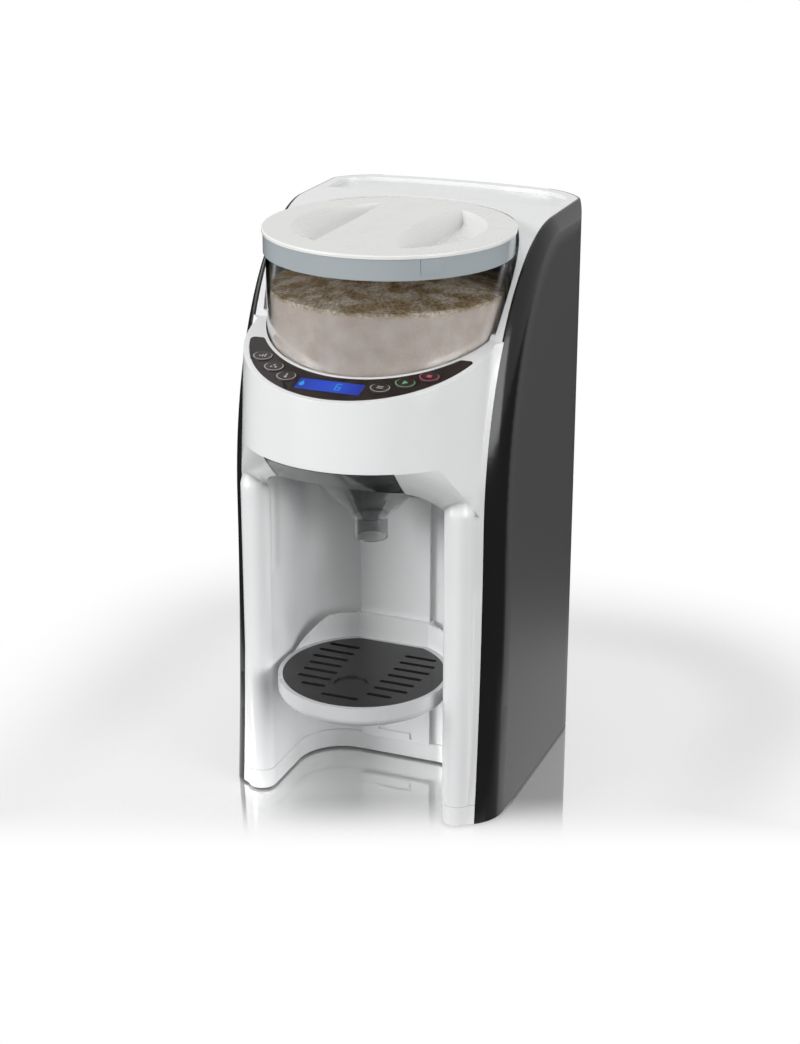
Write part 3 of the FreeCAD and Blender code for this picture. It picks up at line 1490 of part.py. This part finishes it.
def tray_disc(radius, z0, z1, back):
    round_ = disc(0, size("tray_y"), radius, z0, z1)
    return round_.common(box(-FAR, FAR, -FAR, back, z0, z1))


def drip_tray():
    top = size("tray_top")
    foot = top - size("tray_height")
    wall = size("tray_wall")
    seat = top - size("grille_thick") - size("slide_gap")
    radius = size("tray_radius")
    back = size("tray_back")
    tray = disc(0, size("tray_y"), radius, foot, top)
    low_edges = [edge for edge in tray.Edges if edge.BoundBox.ZMax < foot + 0.1]
    tray = tray.makeFillet(size("tray_round"), low_edges)
    tray = tray.common(box(-FAR, FAR, -FAR, back, 0, FAR))
    pocket = tray_disc(size("grille_radius") + size("seam"), seat, top + 1, back - wall)
    well = tray_disc(size("grille_radius") - 3, foot + wall, seat + 1, back - wall - 3)
    return tray.cut([pocket, well])


def tray_grille():
    top = size("tray_top")
    foot = top - size("grille_thick")
    back = size("tray_back") - size("tray_wall") - size("seam")
    plate = tray_disc(size("grille_radius"), foot, top, back)
    wide = size("slot_width")
    tools = [disc(-1, size("dimple_y"), size("dimple_radius"), top - 1.2, top + 1)]
    for k, (inner, outer) in enumerate(SLOTS):
        y = size("dimple_y") + size("slot_step") * (k - 2)
        for side in (1, -1):
            x0, x1 = sorted((side * inner, side * outer))
            slot = box(x0, x1, y - wide / 2, y + wide / 2, foot - 1, top + 1)
            tools.append(slot.fuse([disc(x, y, wide / 2, foot - 1, top + 1)
                                    for x in (x0, x1)]))
    return plate.cut(tools)


SLOTS = [(0.0, 11.3), (16.0, 30.0), (16.5, 37.0), (16.5, 37.5), (18.0, 38.5), (18.0, 40.0),
         (18.0, 40.0), (18.0, 37.0)]
node("tray_rail", feature("tray_rail", tray_rail()))
node("tray_bracket", feature("tray_bracket", tray_bracket()))
node("drip_tray", feature("drip_tray", drip_tray()))
node("tray_grille", feature("tray_grille", tray_grille()))


# --------------------------------------------------------------------- controls
def control_panel():
    panel = panel_outline(0).common(deck_block(0, size("panel_thick")))
    gap = size("button_gap")
    holes = [oval_on_deck(x, y, size("button_half") + gap, size("button_half_short") + gap,
                          -2, 4) for x, y in BUTTONS.values()]
    holes.append(block_on_deck(size("display_x"), size("display_y"),
                               size("display_width") + 2 * gap,
                               size("display_depth") + 2 * gap, -2, 4))
    return panel.cut(holes)


def button(x, y):
    cap = oval_on_deck(x, y, size("button_half"), size("button_half_short"),
                       -size("button_proud"), size("button_cap"))
    top = [edge for edge in cap.Edges if edge.CenterOfMass.z > on_deck(x, y, 0).Base.z]
    cap = cap.makeFillet(0.4, top)
    collar = oval_on_deck(x, y, size("button_half") + 0.8, size("button_half_short") + 0.8,
                          size("panel_thick") + 0.3, size("button_cap"))
    stem = oval_on_deck(x, y, 2.0, 1.9, size("button_cap") - 0.1, size("button_stem"))
    return cap.fuse([collar, stem]).removeSplitter()


def button_switches():
    depth = size("button_stem") + size("button_travel") + 0.1
    return Part.makeCompound([block_on_deck(x, y, 6, 6, depth, size("board_depth"))
                              for x, y in BUTTONS.values()])


node("control_panel", feature("control_panel", control_panel()))
node("display_window", feature("display_window", block_on_deck(
    size("display_x"), size("display_y"), size("display_width"), size("display_depth"),
    0, 1.4)))
node("display_module", feature("display_module", block_on_deck(
    size("display_x"), size("display_y"), size("display_width") + 3, size("display_depth"),
    size("panel_thick") + 0.2, size("board_depth"))))
board = panel_outline(-4, 0).common(deck_block(size("board_depth"),
                                            size("board_depth") + size("board_thick")))
node("control_board", feature("control_board", board))
node("button_switches", feature("button_switches", button_switches()))
for name, (x, y) in BUTTONS.items():
    node(name, feature(name, button(x, y)))

# ------------------------------------------------------------------------ export
doc.recompute()
for item in doc.Objects:
    if "Invalid" in item.State or "Error" in item.State:
        raise RuntimeError("failed object: " + item.Name)
os.makedirs("parts", exist_ok=True)
for name, item in PARTS.items():
    shape = item.Shape
    if shape.isNull() or not shape.isValid() or not shape.Solids:
        raise RuntimeError("bad shape: " + name)
    shape.exportStep("parts/%s.step" % name)
    print(name, len(shape.Solids), round(shape.Volume, 1))
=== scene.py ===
"""The looks of a worktop formula dispenser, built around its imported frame."""
import json

import bpy
from mathutils import Matrix, Vector


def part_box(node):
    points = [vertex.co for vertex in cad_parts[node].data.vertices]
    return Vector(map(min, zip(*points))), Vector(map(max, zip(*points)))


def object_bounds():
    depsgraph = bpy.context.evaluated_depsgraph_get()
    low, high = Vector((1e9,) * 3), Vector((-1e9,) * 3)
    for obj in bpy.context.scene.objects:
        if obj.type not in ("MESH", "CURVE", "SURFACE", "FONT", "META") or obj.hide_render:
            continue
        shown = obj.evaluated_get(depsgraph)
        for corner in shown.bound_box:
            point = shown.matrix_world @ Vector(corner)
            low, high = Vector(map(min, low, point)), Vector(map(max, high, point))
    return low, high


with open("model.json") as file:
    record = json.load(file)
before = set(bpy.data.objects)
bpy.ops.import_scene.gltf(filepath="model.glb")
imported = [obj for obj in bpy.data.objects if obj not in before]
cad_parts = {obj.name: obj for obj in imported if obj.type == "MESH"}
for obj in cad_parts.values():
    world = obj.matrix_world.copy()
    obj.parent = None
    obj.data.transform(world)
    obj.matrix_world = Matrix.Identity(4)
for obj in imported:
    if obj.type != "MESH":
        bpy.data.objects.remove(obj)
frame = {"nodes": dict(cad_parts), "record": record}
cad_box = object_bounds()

MM = 0.001
MACHINE_LOW, MACHINE_HIGH = (Vector(corner) / MM for corner in cad_box)
WHITE = (1.0, 1.0, 1.0, 1.0)


# --------------------------------------------------------------- camera and lamps
def stand(item, place, target):
    """Puts the camera or a lamp at a place, upright and turned to a target, in metres."""
    heading = (Vector(target) - Vector(place)).to_track_quat("-Z", "Y")
    item.matrix_world = Matrix.Translation(place) @ heading.to_matrix().to_4x4()
    bpy.context.scene.collection.objects.link(item)


def place_camera():
    """A long lens, a little to the machine's right and looking down at it."""
    data = bpy.data.cameras.new("camera")
    data.sensor_width = 36.0
    data.lens = 72.96
    data.clip_end = 20.0
    camera = bpy.data.objects.new("camera", data)
    stand(camera, place=(0.49105, -1.22326, 0.68526), target=(0.00119, 0.0, 0.17455))
    bpy.context.scene.camera = camera


def lamp(name, place, target, size, power):
    """A rectangular lamp."""
    data = bpy.data.lights.new(name, "AREA")
    data.shape = "RECTANGLE"
    data.size, data.size_y = size
    data.energy = power
    stand(bpy.data.objects.new(name, data), place, target)


# -------------------------------------------------------------------- shader maths
def maths(operation, swapped=False):
    """A method of Value that adds one Math node."""
    def method(self, *others):
        values = (*others, self) if swapped else (self, *others)
        return self.owner.node("ShaderNodeMath", {"operation": operation},
                               dict(enumerate(values)))
    return method


class Value:
    """A socket's value; Python's operators on it add Math nodes."""

    def __init__(self, owner, socket):
        self.owner = owner
        self.socket = socket

    __add__ = maths("ADD")
    __radd__ = maths("ADD", swapped=True)
    __sub__ = maths("SUBTRACT")
    __rsub__ = maths("SUBTRACT", swapped=True)
    __mul__ = maths("MULTIPLY")
    __rmul__ = maths("MULTIPLY", swapped=True)
    __truediv__ = maths("DIVIDE")
    __pow__ = maths("POWER")
    __abs__ = maths("ABSOLUTE")
    most = maths("MAXIMUM")
    root = maths("SQRT")

    def step(self, low, high):
        """0 below low, 1 above high, smooth between."""
        return self.owner.node("ShaderNodeMapRange", {"interpolation_type": "SMOOTHSTEP"},
                               {"Value": self, "From Min": low, "From Max": high})

    def within(self, low, high, soft=0.1):
        """1 between low and high, 0 outside, with soft edges."""
        return self.step(low - soft, low + soft) * (1.0 - self.step(high - soft, high + soft))


class Nodes:
    """A tree of shader nodes."""

    def __init__(self, tree):
        self.tree = tree

    def feed(self, socket, value):
        """Gives a socket a plain value or a link."""
        if isinstance(value, Value):
            self.tree.links.new(value.socket, socket)
        else:
            socket.default_value = value

    def node(self, kind, settings=None, inputs=None, out=0):
        """Adds a node and returns the value of one of its outputs."""
        item = self.tree.nodes.new(kind)
        for name, value in (settings or {}).items():
            setattr(item, name, value)
        for key, value in (inputs or {}).items():
            self.feed(item.inputs[key], value)
        return Value(self, item.outputs[out])

    def seen_by(self, ray):
        """1 for light of one kind of path, such as the camera's, and 0 for the rest."""
        return self.node("ShaderNodeLightPath", out=f"Is {ray} Ray")


def opaque(color):
    """A colour with its fourth number; a socket's value stays as it is."""
    return color if isinstance(color, Value) else (*color, 1.0)


class Finish(Nodes):
    """One procedural material on Object coordinates, in millimetres."""

    def __init__(self, name, color, roughness, **settings):
        self.material = bpy.data.materials.new(name)
        self.material.use_nodes = True
        super().__init__(self.material.node_tree)
        self.tree.nodes.clear()
        self.output = self.tree.nodes.new("ShaderNodeOutputMaterial")
        self.shader = self.tree.nodes.new("ShaderNodeBsdfPrincipled")
        self.tree.links.new(self.shader.outputs[0], self.output.inputs[0])
        self.set(Base_Color=opaque(color), Roughness=roughness, **settings)

    def set(self, **values):
        """Feeds the shader's sockets, named with an underscore for each space."""
        for name, value in values.items():
            self.feed(self.shader.inputs[name.replace("_", " ")], value)

    def place(self):
        """The point on the piece, in millimetres, as a vector."""
        point = self.node("ShaderNodeTexCoord", out="Object")
        return self.node("ShaderNodeVectorMath", {"operation": "SCALE"},
                         {0: point, "Scale": 1.0 / MM})

    def axis(self, name):
        """The point's distance along X, Y or Z, in millimetres."""
        return self.node("ShaderNodeSeparateXYZ", None, {0: self.place()}, name)

    def from_middle(self, low, high):
        """The point's distances in X and Y from the middle of a box."""
        return [self.axis(name) - (low[k] + high[k]) / 2 for k, name in enumerate("XY")]

    def facing(self, axis):
        """How far the surface faces along one of the piece's own axes, from -1 to 1."""
        normal = self.node("ShaderNodeNewGeometry", out="Normal")
        local = self.node("ShaderNodeVectorTransform",
                          {"vector_type": "NORMAL", "convert_from": "WORLD",
                           "convert_to": "OBJECT"}, {0: normal})
        return self.node("ShaderNodeSeparateXYZ", None, {0: local}, axis)

    def noise(self, scale, detail=2.0, roughness=0.5, distortion=0.0):
        """Noise between 0 and 1; scale is features per millimetre."""
        return self.node("ShaderNodeTexNoise", None, {
            "Vector": self.place(), "Scale": scale, "Detail": detail,
            "Roughness": roughness, "Distortion": distortion})

    def blend(self, share, first, second):
        """A colour or a normal that goes from first to second."""
        return self.node("ShaderNodeMix", {"data_type": "RGBA"},
                         {0: share, 6: opaque(first), 7: opaque(second)}, 2)

    def relief(self, height, strength, distance, **onto):
        """Bump from a height between 0 and 1, on the mesh or onto another Normal;
        distance is in metres."""
        self.set(Normal=self.node("ShaderNodeBump", None, {
            "Strength": strength, "Distance": distance, "Height": height, **onto}))


# ------------------------------------------------------------------------ finishes
def handled_gloss(finish, color, darker, roughness):
    """Faint flow shading in the colour, and handling marks in the gloss."""
    flow = finish.noise(0.012, 3.0)
    smear = finish.noise(0.06, 4.0, 0.6, 0.6)
    finish.set(Base_Color=finish.blend(flow.step(0.35, 0.7), color, darker),
               Roughness=roughness * 0.8 + smear.step(0.3, 0.75) * roughness * 0.5)


def gloss_moulding(name, color, roughness, tint, peel=0.12, **settings):
    """Glossy moulded plastic with orange peel."""
    finish = Finish(name, color, roughness, **settings)
    handled_gloss(finish, color, [c * tint for c in color], roughness)
    finish.relief(finish.noise(0.45), peel, 0.00006)
    return finish.material


def white_finish():
    """The white body; where its head meets its columns the join is shaded round."""
    color = (0.82, 0.825, 0.83)
    roughness = 0.2
    finish = Finish("white moulding", color, roughness, Coat_Weight=0.25)
    handled_gloss(finish, color, (0.80, 0.805, 0.81), roughness)
    join_foot = MACHINE_HIGH.z - 230.0
    join_head = MACHINE_HIGH.z - 154.0
    column_side = 56.0
    column_front = -60.0
    height = finish.axis("Z")
    aside = abs(finish.axis("X"))
    depth = finish.axis("Y")
    join = (height.step(join_foot, join_foot + 18.0)
            * (1.0 - height.step(join_head, join_head + 16.0))
            * aside.step(column_side, column_side + 4.0)
            * (1.0 - depth.step(column_front, column_front + 20.0)))
    crisp = finish.node("ShaderNodeBevel", {"samples": 8}, {"Radius": 0.0004})
    melted = finish.node("ShaderNodeBevel", {"samples": 8}, {"Radius": 0.0114})
    finish.relief(finish.noise(0.45), 0.12, 0.00006,
                  Normal=finish.blend(join, crisp, melted))
    return finish.material


def side_finish():
    """Dark plastic sides: painted shade makes the rounded band near black, painted sheen
    makes the plain sides paler.
    """
    # near black as painted shade on the rounded band of the dark plastic
    painted_shade_black = (0.014, 0.014, 0.0145)
    finish = Finish("dark side moulding", painted_shade_black, 0.16, Specular_IOR_Level=0.22)
    outwards = abs(finish.facing("X"))
    rearwards = finish.facing("Y")
    flat_and_painted_sheen = outwards.most(rearwards).step(0.93, 0.985)
    # painted shade and sheen: near black where the surface turns round the edge, paler where
    # it faces straight out sideways or back
    finish.set(Base_Color=finish.blend(flat_and_painted_sheen, painted_shade_black, (0.074, 0.074, 0.073)),
               Roughness=0.14 + flat_and_painted_sheen * 0.26)
    finish.relief(finish.noise(0.5), 0.08, 0.00005)
    return finish.material


def matt_moulding(name, color, roughness=0.55):
    """Fine spark-eroded plastic."""
    finish = Finish(name, color, roughness)
    grain = finish.noise(2.6)
    patch = finish.noise(0.03, 3.0)
    darker = [c * 0.85 for c in color]
    finish.set(Base_Color=finish.blend(patch.step(0.3, 0.7), color, darker),
               Roughness=roughness - 0.05 + grain * 0.1)
    finish.relief(grain, 0.35, 0.00012)
    return finish.material


def clear_moulding(name, color, roughness):
    """Clear or smoked plastic with faint haze."""
    finish = Finish(name, color, roughness, IOR=1.46, Transmission_Weight=1.0)
    haze = finish.noise(0.05, 3.0, 0.6, 0.4)
    finish.set(Roughness=roughness + haze.step(0.4, 0.8) * roughness)
    return finish.material


def bare_metal(name, color, roughness):
    """Metal with the fine marks of its working."""
    finish = Finish(name, color, roughness, Metallic=1.0)
    brushed = finish.noise(0.9, 3.0, 0.7)
    finish.set(Roughness=roughness * 0.7 + brushed * roughness * 0.6)
    finish.relief(brushed, 0.2, 0.00005)
    return finish.material


def powder_finish():
    """Milk powder: pale dust against the hopper's wall, brown crumbs on the heap."""
    finish = Finish("milk powder", (0.72, 0.6, 0.5), 0.9)
    crumbs = finish.noise(0.5, 5.0, 0.75)
    lumps = finish.noise(0.08, 3.0)
    fleck = crumbs.step(0.38, 0.62)
    dark = finish.blend(fleck, (0.17, 0.10, 0.045), (0.58, 0.41, 0.22))
    pale = finish.blend(fleck, (0.52, 0.40, 0.28), (0.95, 0.84, 0.70))
    heap = finish.blend(lumps.step(0.35, 0.65), dark, pale)
    wall = finish.blend(lumps.step(0.2, 0.8), (0.66, 0.54, 0.46), (0.80, 0.70, 0.63))
    level = MACHINE_HIGH.z - 37.0
    top = (finish.axis("Z") + lumps * 5.0).step(level - 2.0, level + 2.0)
    finish.set(Base_Color=finish.blend(top, wall, heap))
    finish.relief(crumbs, 0.8, 0.0015)
    return finish.material


# --------------------------------------------------- marks of the display and keys
def ball(u, v, centre_u, centre_v, radius):
    """1 inside a circle on the plane of u and v, with a soft edge."""
    soft = 0.12
    away = ((u - centre_u) ** 2.0 + (v - centre_v) ** 2.0).root()
    return 1.0 - away.step(radius - soft, radius + soft)


def bar(u, v, centre_u, centre_v, half_u, half_v):
    """1 inside a rectangle on the plane of u and v."""
    return (u.within(centre_u - half_u, centre_u + half_u)
            * v.within(centre_v - half_v, centre_v + half_v))


def either(*shares):
    """The largest of several shares."""
    largest = shares[0]
    for share in shares[1:]:
        largest = largest.most(share)
    return largest


def water_drop(u, v, centre_u, centre_v, radius):
    """A ball under a point."""
    ball_v = centre_v - 0.4 * radius
    height = 2.4 * radius
    rise = (v - ball_v) / height
    half_width = (1.0 - rise) * (0.92 * radius)
    point = (half_width - abs(u - centre_u)).step(-0.1, 0.1) * rise.step(0.0, 0.05)
    return ball(u, v, centre_u, ball_v, radius).most(point)


def number_six(u, v):
    """The number 6 in straight strokes."""
    half_stroke = 0.3
    overrun = 0.1
    left, right = 4.2, 7.2
    foot, waist, top = -2.9, 0.1, 3.1
    middle = (left + right) / 2
    half_width = (right - left) / 2
    level = [bar(u, v, middle, height, half_width, half_stroke)
             for height in (foot, waist, top)]
    upright = [bar(u, v, place, (foot + end) / 2, half_stroke, (end - foot) / 2 + overrun)
               for place, end in ((left, top), (right, waist))]
    return either(*level, *upright)


def volume_mark(u, v):
    """Three bars on one line, each taller than the one before."""
    foot, spacing, half_width = -1.5, 1.7, 0.45
    bars = []
    for count in (-1, 0, 1):
        half_height = 1.2 + 0.45 * count
        bars.append(bar(u, v, spacing * count, foot + half_height, half_width, half_height))
    return either(*bars)


def powder_mark(u, v):
    """Three round grains in a heap."""
    grains = ((-1.5, -0.9), (1.5, -0.9), (0.0, 1.1))
    return either(*[ball(u, v, centre_u, centre_v, 0.75) for centre_u, centre_v in grains])


def temperature_mark(u, v):
    """A thermometer: a stem on a bulb."""
    stem = bar(u, v, 0.0, 0.6, 0.45, 1.7)
    bulb = ball(u, v, 0.0, -1.4, 0.95)
    return stem.most(bulb)


def unit_mark(u, v):
    """Two level strokes."""
    apart = 0.85
    return bar(u, v, 0.0, apart, 2.0, 0.35).most(bar(u, v, 0.0, -apart, 2.0, 0.35))


def start_mark(u, v):
    """A triangle that points to the right."""
    tip, slope = 1.9, 0.65
    sides = (tip - u) * slope - abs(v)
    return sides.step(-0.1, 0.1) * u.step(-1.5, -1.3)


def stop_mark(u, v):
    """A filled block."""
    return bar(u, v, 0.0, 0.0, 1.5, 1.3)


KEY_MARKS = {
    "volume_button": volume_mark,
    "powder_button": powder_mark,
    "temperature_button": temperature_mark,
    "unit_button": unit_mark,
    "start_button": start_mark,
    "stop_button": stop_mark,
}


def display_finish():
    """A lit liquid-crystal display with a drop and the number 6."""
    low, high = (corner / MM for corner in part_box("display_window"))
    finish = Finish("blue display", (0.01, 0.03, 0.2), 0.12,
                    Specular_IOR_Level=0.25, Emission_Strength=0.48)
    u, v = finish.from_middle(low, high)
    ends = abs(u / ((high.x - low.x) / 2))
    glow = finish.blend(ends.step(0.2, 1.0), (0.004, 0.07, 0.75), (0.001, 0.015, 0.38))
    marks = number_six(u, v).most(water_drop(u, v, -18.2, 0.0, 1.7))
    finish.set(Emission_Color=finish.blend(marks, glow, (0.03, 0.62, 1.0)))
    return finish.material


def key_finish(node, line):
    """A key cap: dark lacquer, an oval line near its edge and one plain mark."""
    low, high = (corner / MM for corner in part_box(node))
    lacquer = (0.022, 0.014, 0.012)
    finish = Finish(node, lacquer, 0.16, Specular_IOR_Level=0.3)
    u, v = finish.from_middle(low, high)
    half_u, half_v = 6.8, 5.25
    oval = ((u / half_u) ** 2.0 + (v / half_v) ** 2.0).root()
    marks = oval.within(0.83, 0.92, 0.02).most(KEY_MARKS[node](u, v))
    finish.set(Base_Color=finish.blend(marks, lacquer, line))
    finish.relief(finish.noise(0.45), 0.05, 0.00006)
    return finish.material


# ----------------------------------------------------- which finish each node wears
FINISHES = {
    "white_shell": white_finish(),
    "dark_shell": side_finish(),
    "dark_base": matt_moulding("black moulding", (0.03, 0.03, 0.03)),
    "foot_rubber": matt_moulding("foot rubber", (0.035, 0.035, 0.035), 0.8),
    "steel": bare_metal("turned steel", (0.6, 0.6, 0.6), 0.3),
    "inner_plastic": matt_moulding("grey inner moulding", (0.45, 0.46, 0.47)),
    "smoked_plastic": clear_moulding("smoked moulding", (0.57, 0.58, 0.58), 0.08),
    "seal_rubber": matt_moulding("silicone", (0.5, 0.52, 0.54), 0.5),
    "bare_metal": bare_metal("drawn aluminium", (0.7, 0.7, 0.71), 0.35),
    "clear_plastic": clear_moulding("clear moulding", (0.93, 0.95, 0.965), 0.05),
    "powder": powder_finish(),
    "wheel_plastic": matt_moulding("wheel moulding", (0.62, 0.63, 0.64), 0.45),
    "brass_gear": bare_metal("sintered brass", (0.62, 0.46, 0.22), 0.4),
    "black_plastic": matt_moulding("black grille", (0.013, 0.013, 0.014), 0.35),
    "panel_gloss": gloss_moulding("panel lacquer", (0.018, 0.011, 0.009), 0.1, 0.8,
                                  peel=0.05, Specular_IOR_Level=0.22),
    "display_blue": display_finish(),
    "board": matt_moulding("circuit board", (0.02, 0.1, 0.05), 0.5),
}
OWN_FINISHES = {
    "container_collar": gloss_moulding("milky ring", (0.38, 0.42, 0.44), 0.15, 0.98),
    "container_lid": gloss_moulding("lid moulding", (0.79, 0.79, 0.775), 0.24, 0.98),
    # painted shade: the drip tray is the white moulding, painted grey for the shade that
    # falls on it under the head
    "drip_tray": gloss_moulding("tray moulding in painted shade", (0.60, 0.61, 0.62), 0.22, 0.98),
}
KEY_LINES = {
    "button_grey": (0.42, 0.42, 0.41),
    "button_green": (0.16, 0.40, 0.20),
    "button_red": (0.50, 0.08, 0.14),
}


def dress_nodes():
    """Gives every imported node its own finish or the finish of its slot."""
    for part in frame["record"]["subparts"]:
        node, slot = part["node"], part["material_slot"]
        materials = frame["nodes"][node].data.materials
        materials.clear()
        if slot in KEY_LINES:
            materials.append(key_finish(node, KEY_LINES[slot]))
        else:
            materials.append(OWN_FINISHES.get(node, FINISHES[slot]))


# ----------------------------------------------------------------- floor and studio
def floor_finish():
    """White gloss board: a mirror round the machine that fades to plain white farther
    out, and sooner in front of it."""
    finish = Finish("white floor", (0.72, 0.72, 0.72), 0.5)
    half = (MACHINE_HIGH - MACHINE_LOW) / 2
    u, v = finish.from_middle(MACHINE_LOW, MACHINE_HIGH)
    beside = (abs(u) - half.x).most(0.0)
    beyond = (abs(v) - half.y).most(0.0)
    away = (beside ** 2.0 + beyond ** 2.0).root()
    to_right, to_front = 0.372, 0.928  # the way out from the front, a little to the right
    outward = finish.axis("X") * to_right - finish.axis("Y") * to_front
    in_front = outward.step(58.0, 132.0)

    seen = finish.seen_by("Camera")
    board = Value(finish, finish.shader.outputs[0])
    lift = finish.node("ShaderNodeEmission", None, {"Color": WHITE, "Strength": seen * 0.1})
    lit = finish.node("ShaderNodeAddShader", None, {0: board, 1: lift})
    mirror = finish.node("ShaderNodeBsdfGlossy", None, {"Color": (0.94, 0.94, 0.94, 1.0),
                                                        "Roughness": 0.03})
    mirror_share = 0.62 * (1.0 - in_front) * (1.0 - away.step(70.0, 160.0))
    near = finish.node("ShaderNodeMixShader", None, {0: mirror_share, 1: lit, 2: mirror})
    white = finish.node("ShaderNodeEmission", None, {"Color": WHITE, "Strength": seen})
    white_share = in_front.most(away.step(70.0, 260.0))
    whole = finish.node("ShaderNodeMixShader", None, {0: white_share, 1: near, 2: white})
    finish.feed(finish.output.inputs[0], whole)
    return finish.material


def studio():
    """A pale room: white where it is seen, mirrored or seen through, and softer as light."""
    scene = bpy.context.scene
    scene.view_settings.view_transform = "Standard"
    scene.world = bpy.data.worlds.new("studio")
    scene.world.use_nodes = True
    room = Nodes(scene.world.node_tree)
    seen = either(room.seen_by("Camera"), room.seen_by("Transmission"),
                  room.seen_by("Glossy"))
    soft = 0.47
    backdrop = room.tree.nodes["Background"].inputs
    room.feed(backdrop["Color"], WHITE)
    room.feed(backdrop["Strength"], soft + seen * (1.0 - soft))

    bpy.ops.mesh.primitive_plane_add(size=12.0, location=(0.0, 0.0, -0.0002))
    floor = bpy.context.object
    floor.name = "floor"
    floor.data.materials.append(floor_finish())

    lamp("left", (-1.6, -1.6, 0.75), (0.0, 0.0, 0.25), (1.3, 1.2), 46.0)
    lamp("right", (2.1, -0.9, 0.55), (0.0, 0.0, 0.25), (1.1, 1.0), 32.0)
    lamp("top", (0.1, 0.2, 1.9), (0.0, 0.0, 0.2), (1.4, 1.4), 4.0)


place_camera()
dress_nodes()
studio()
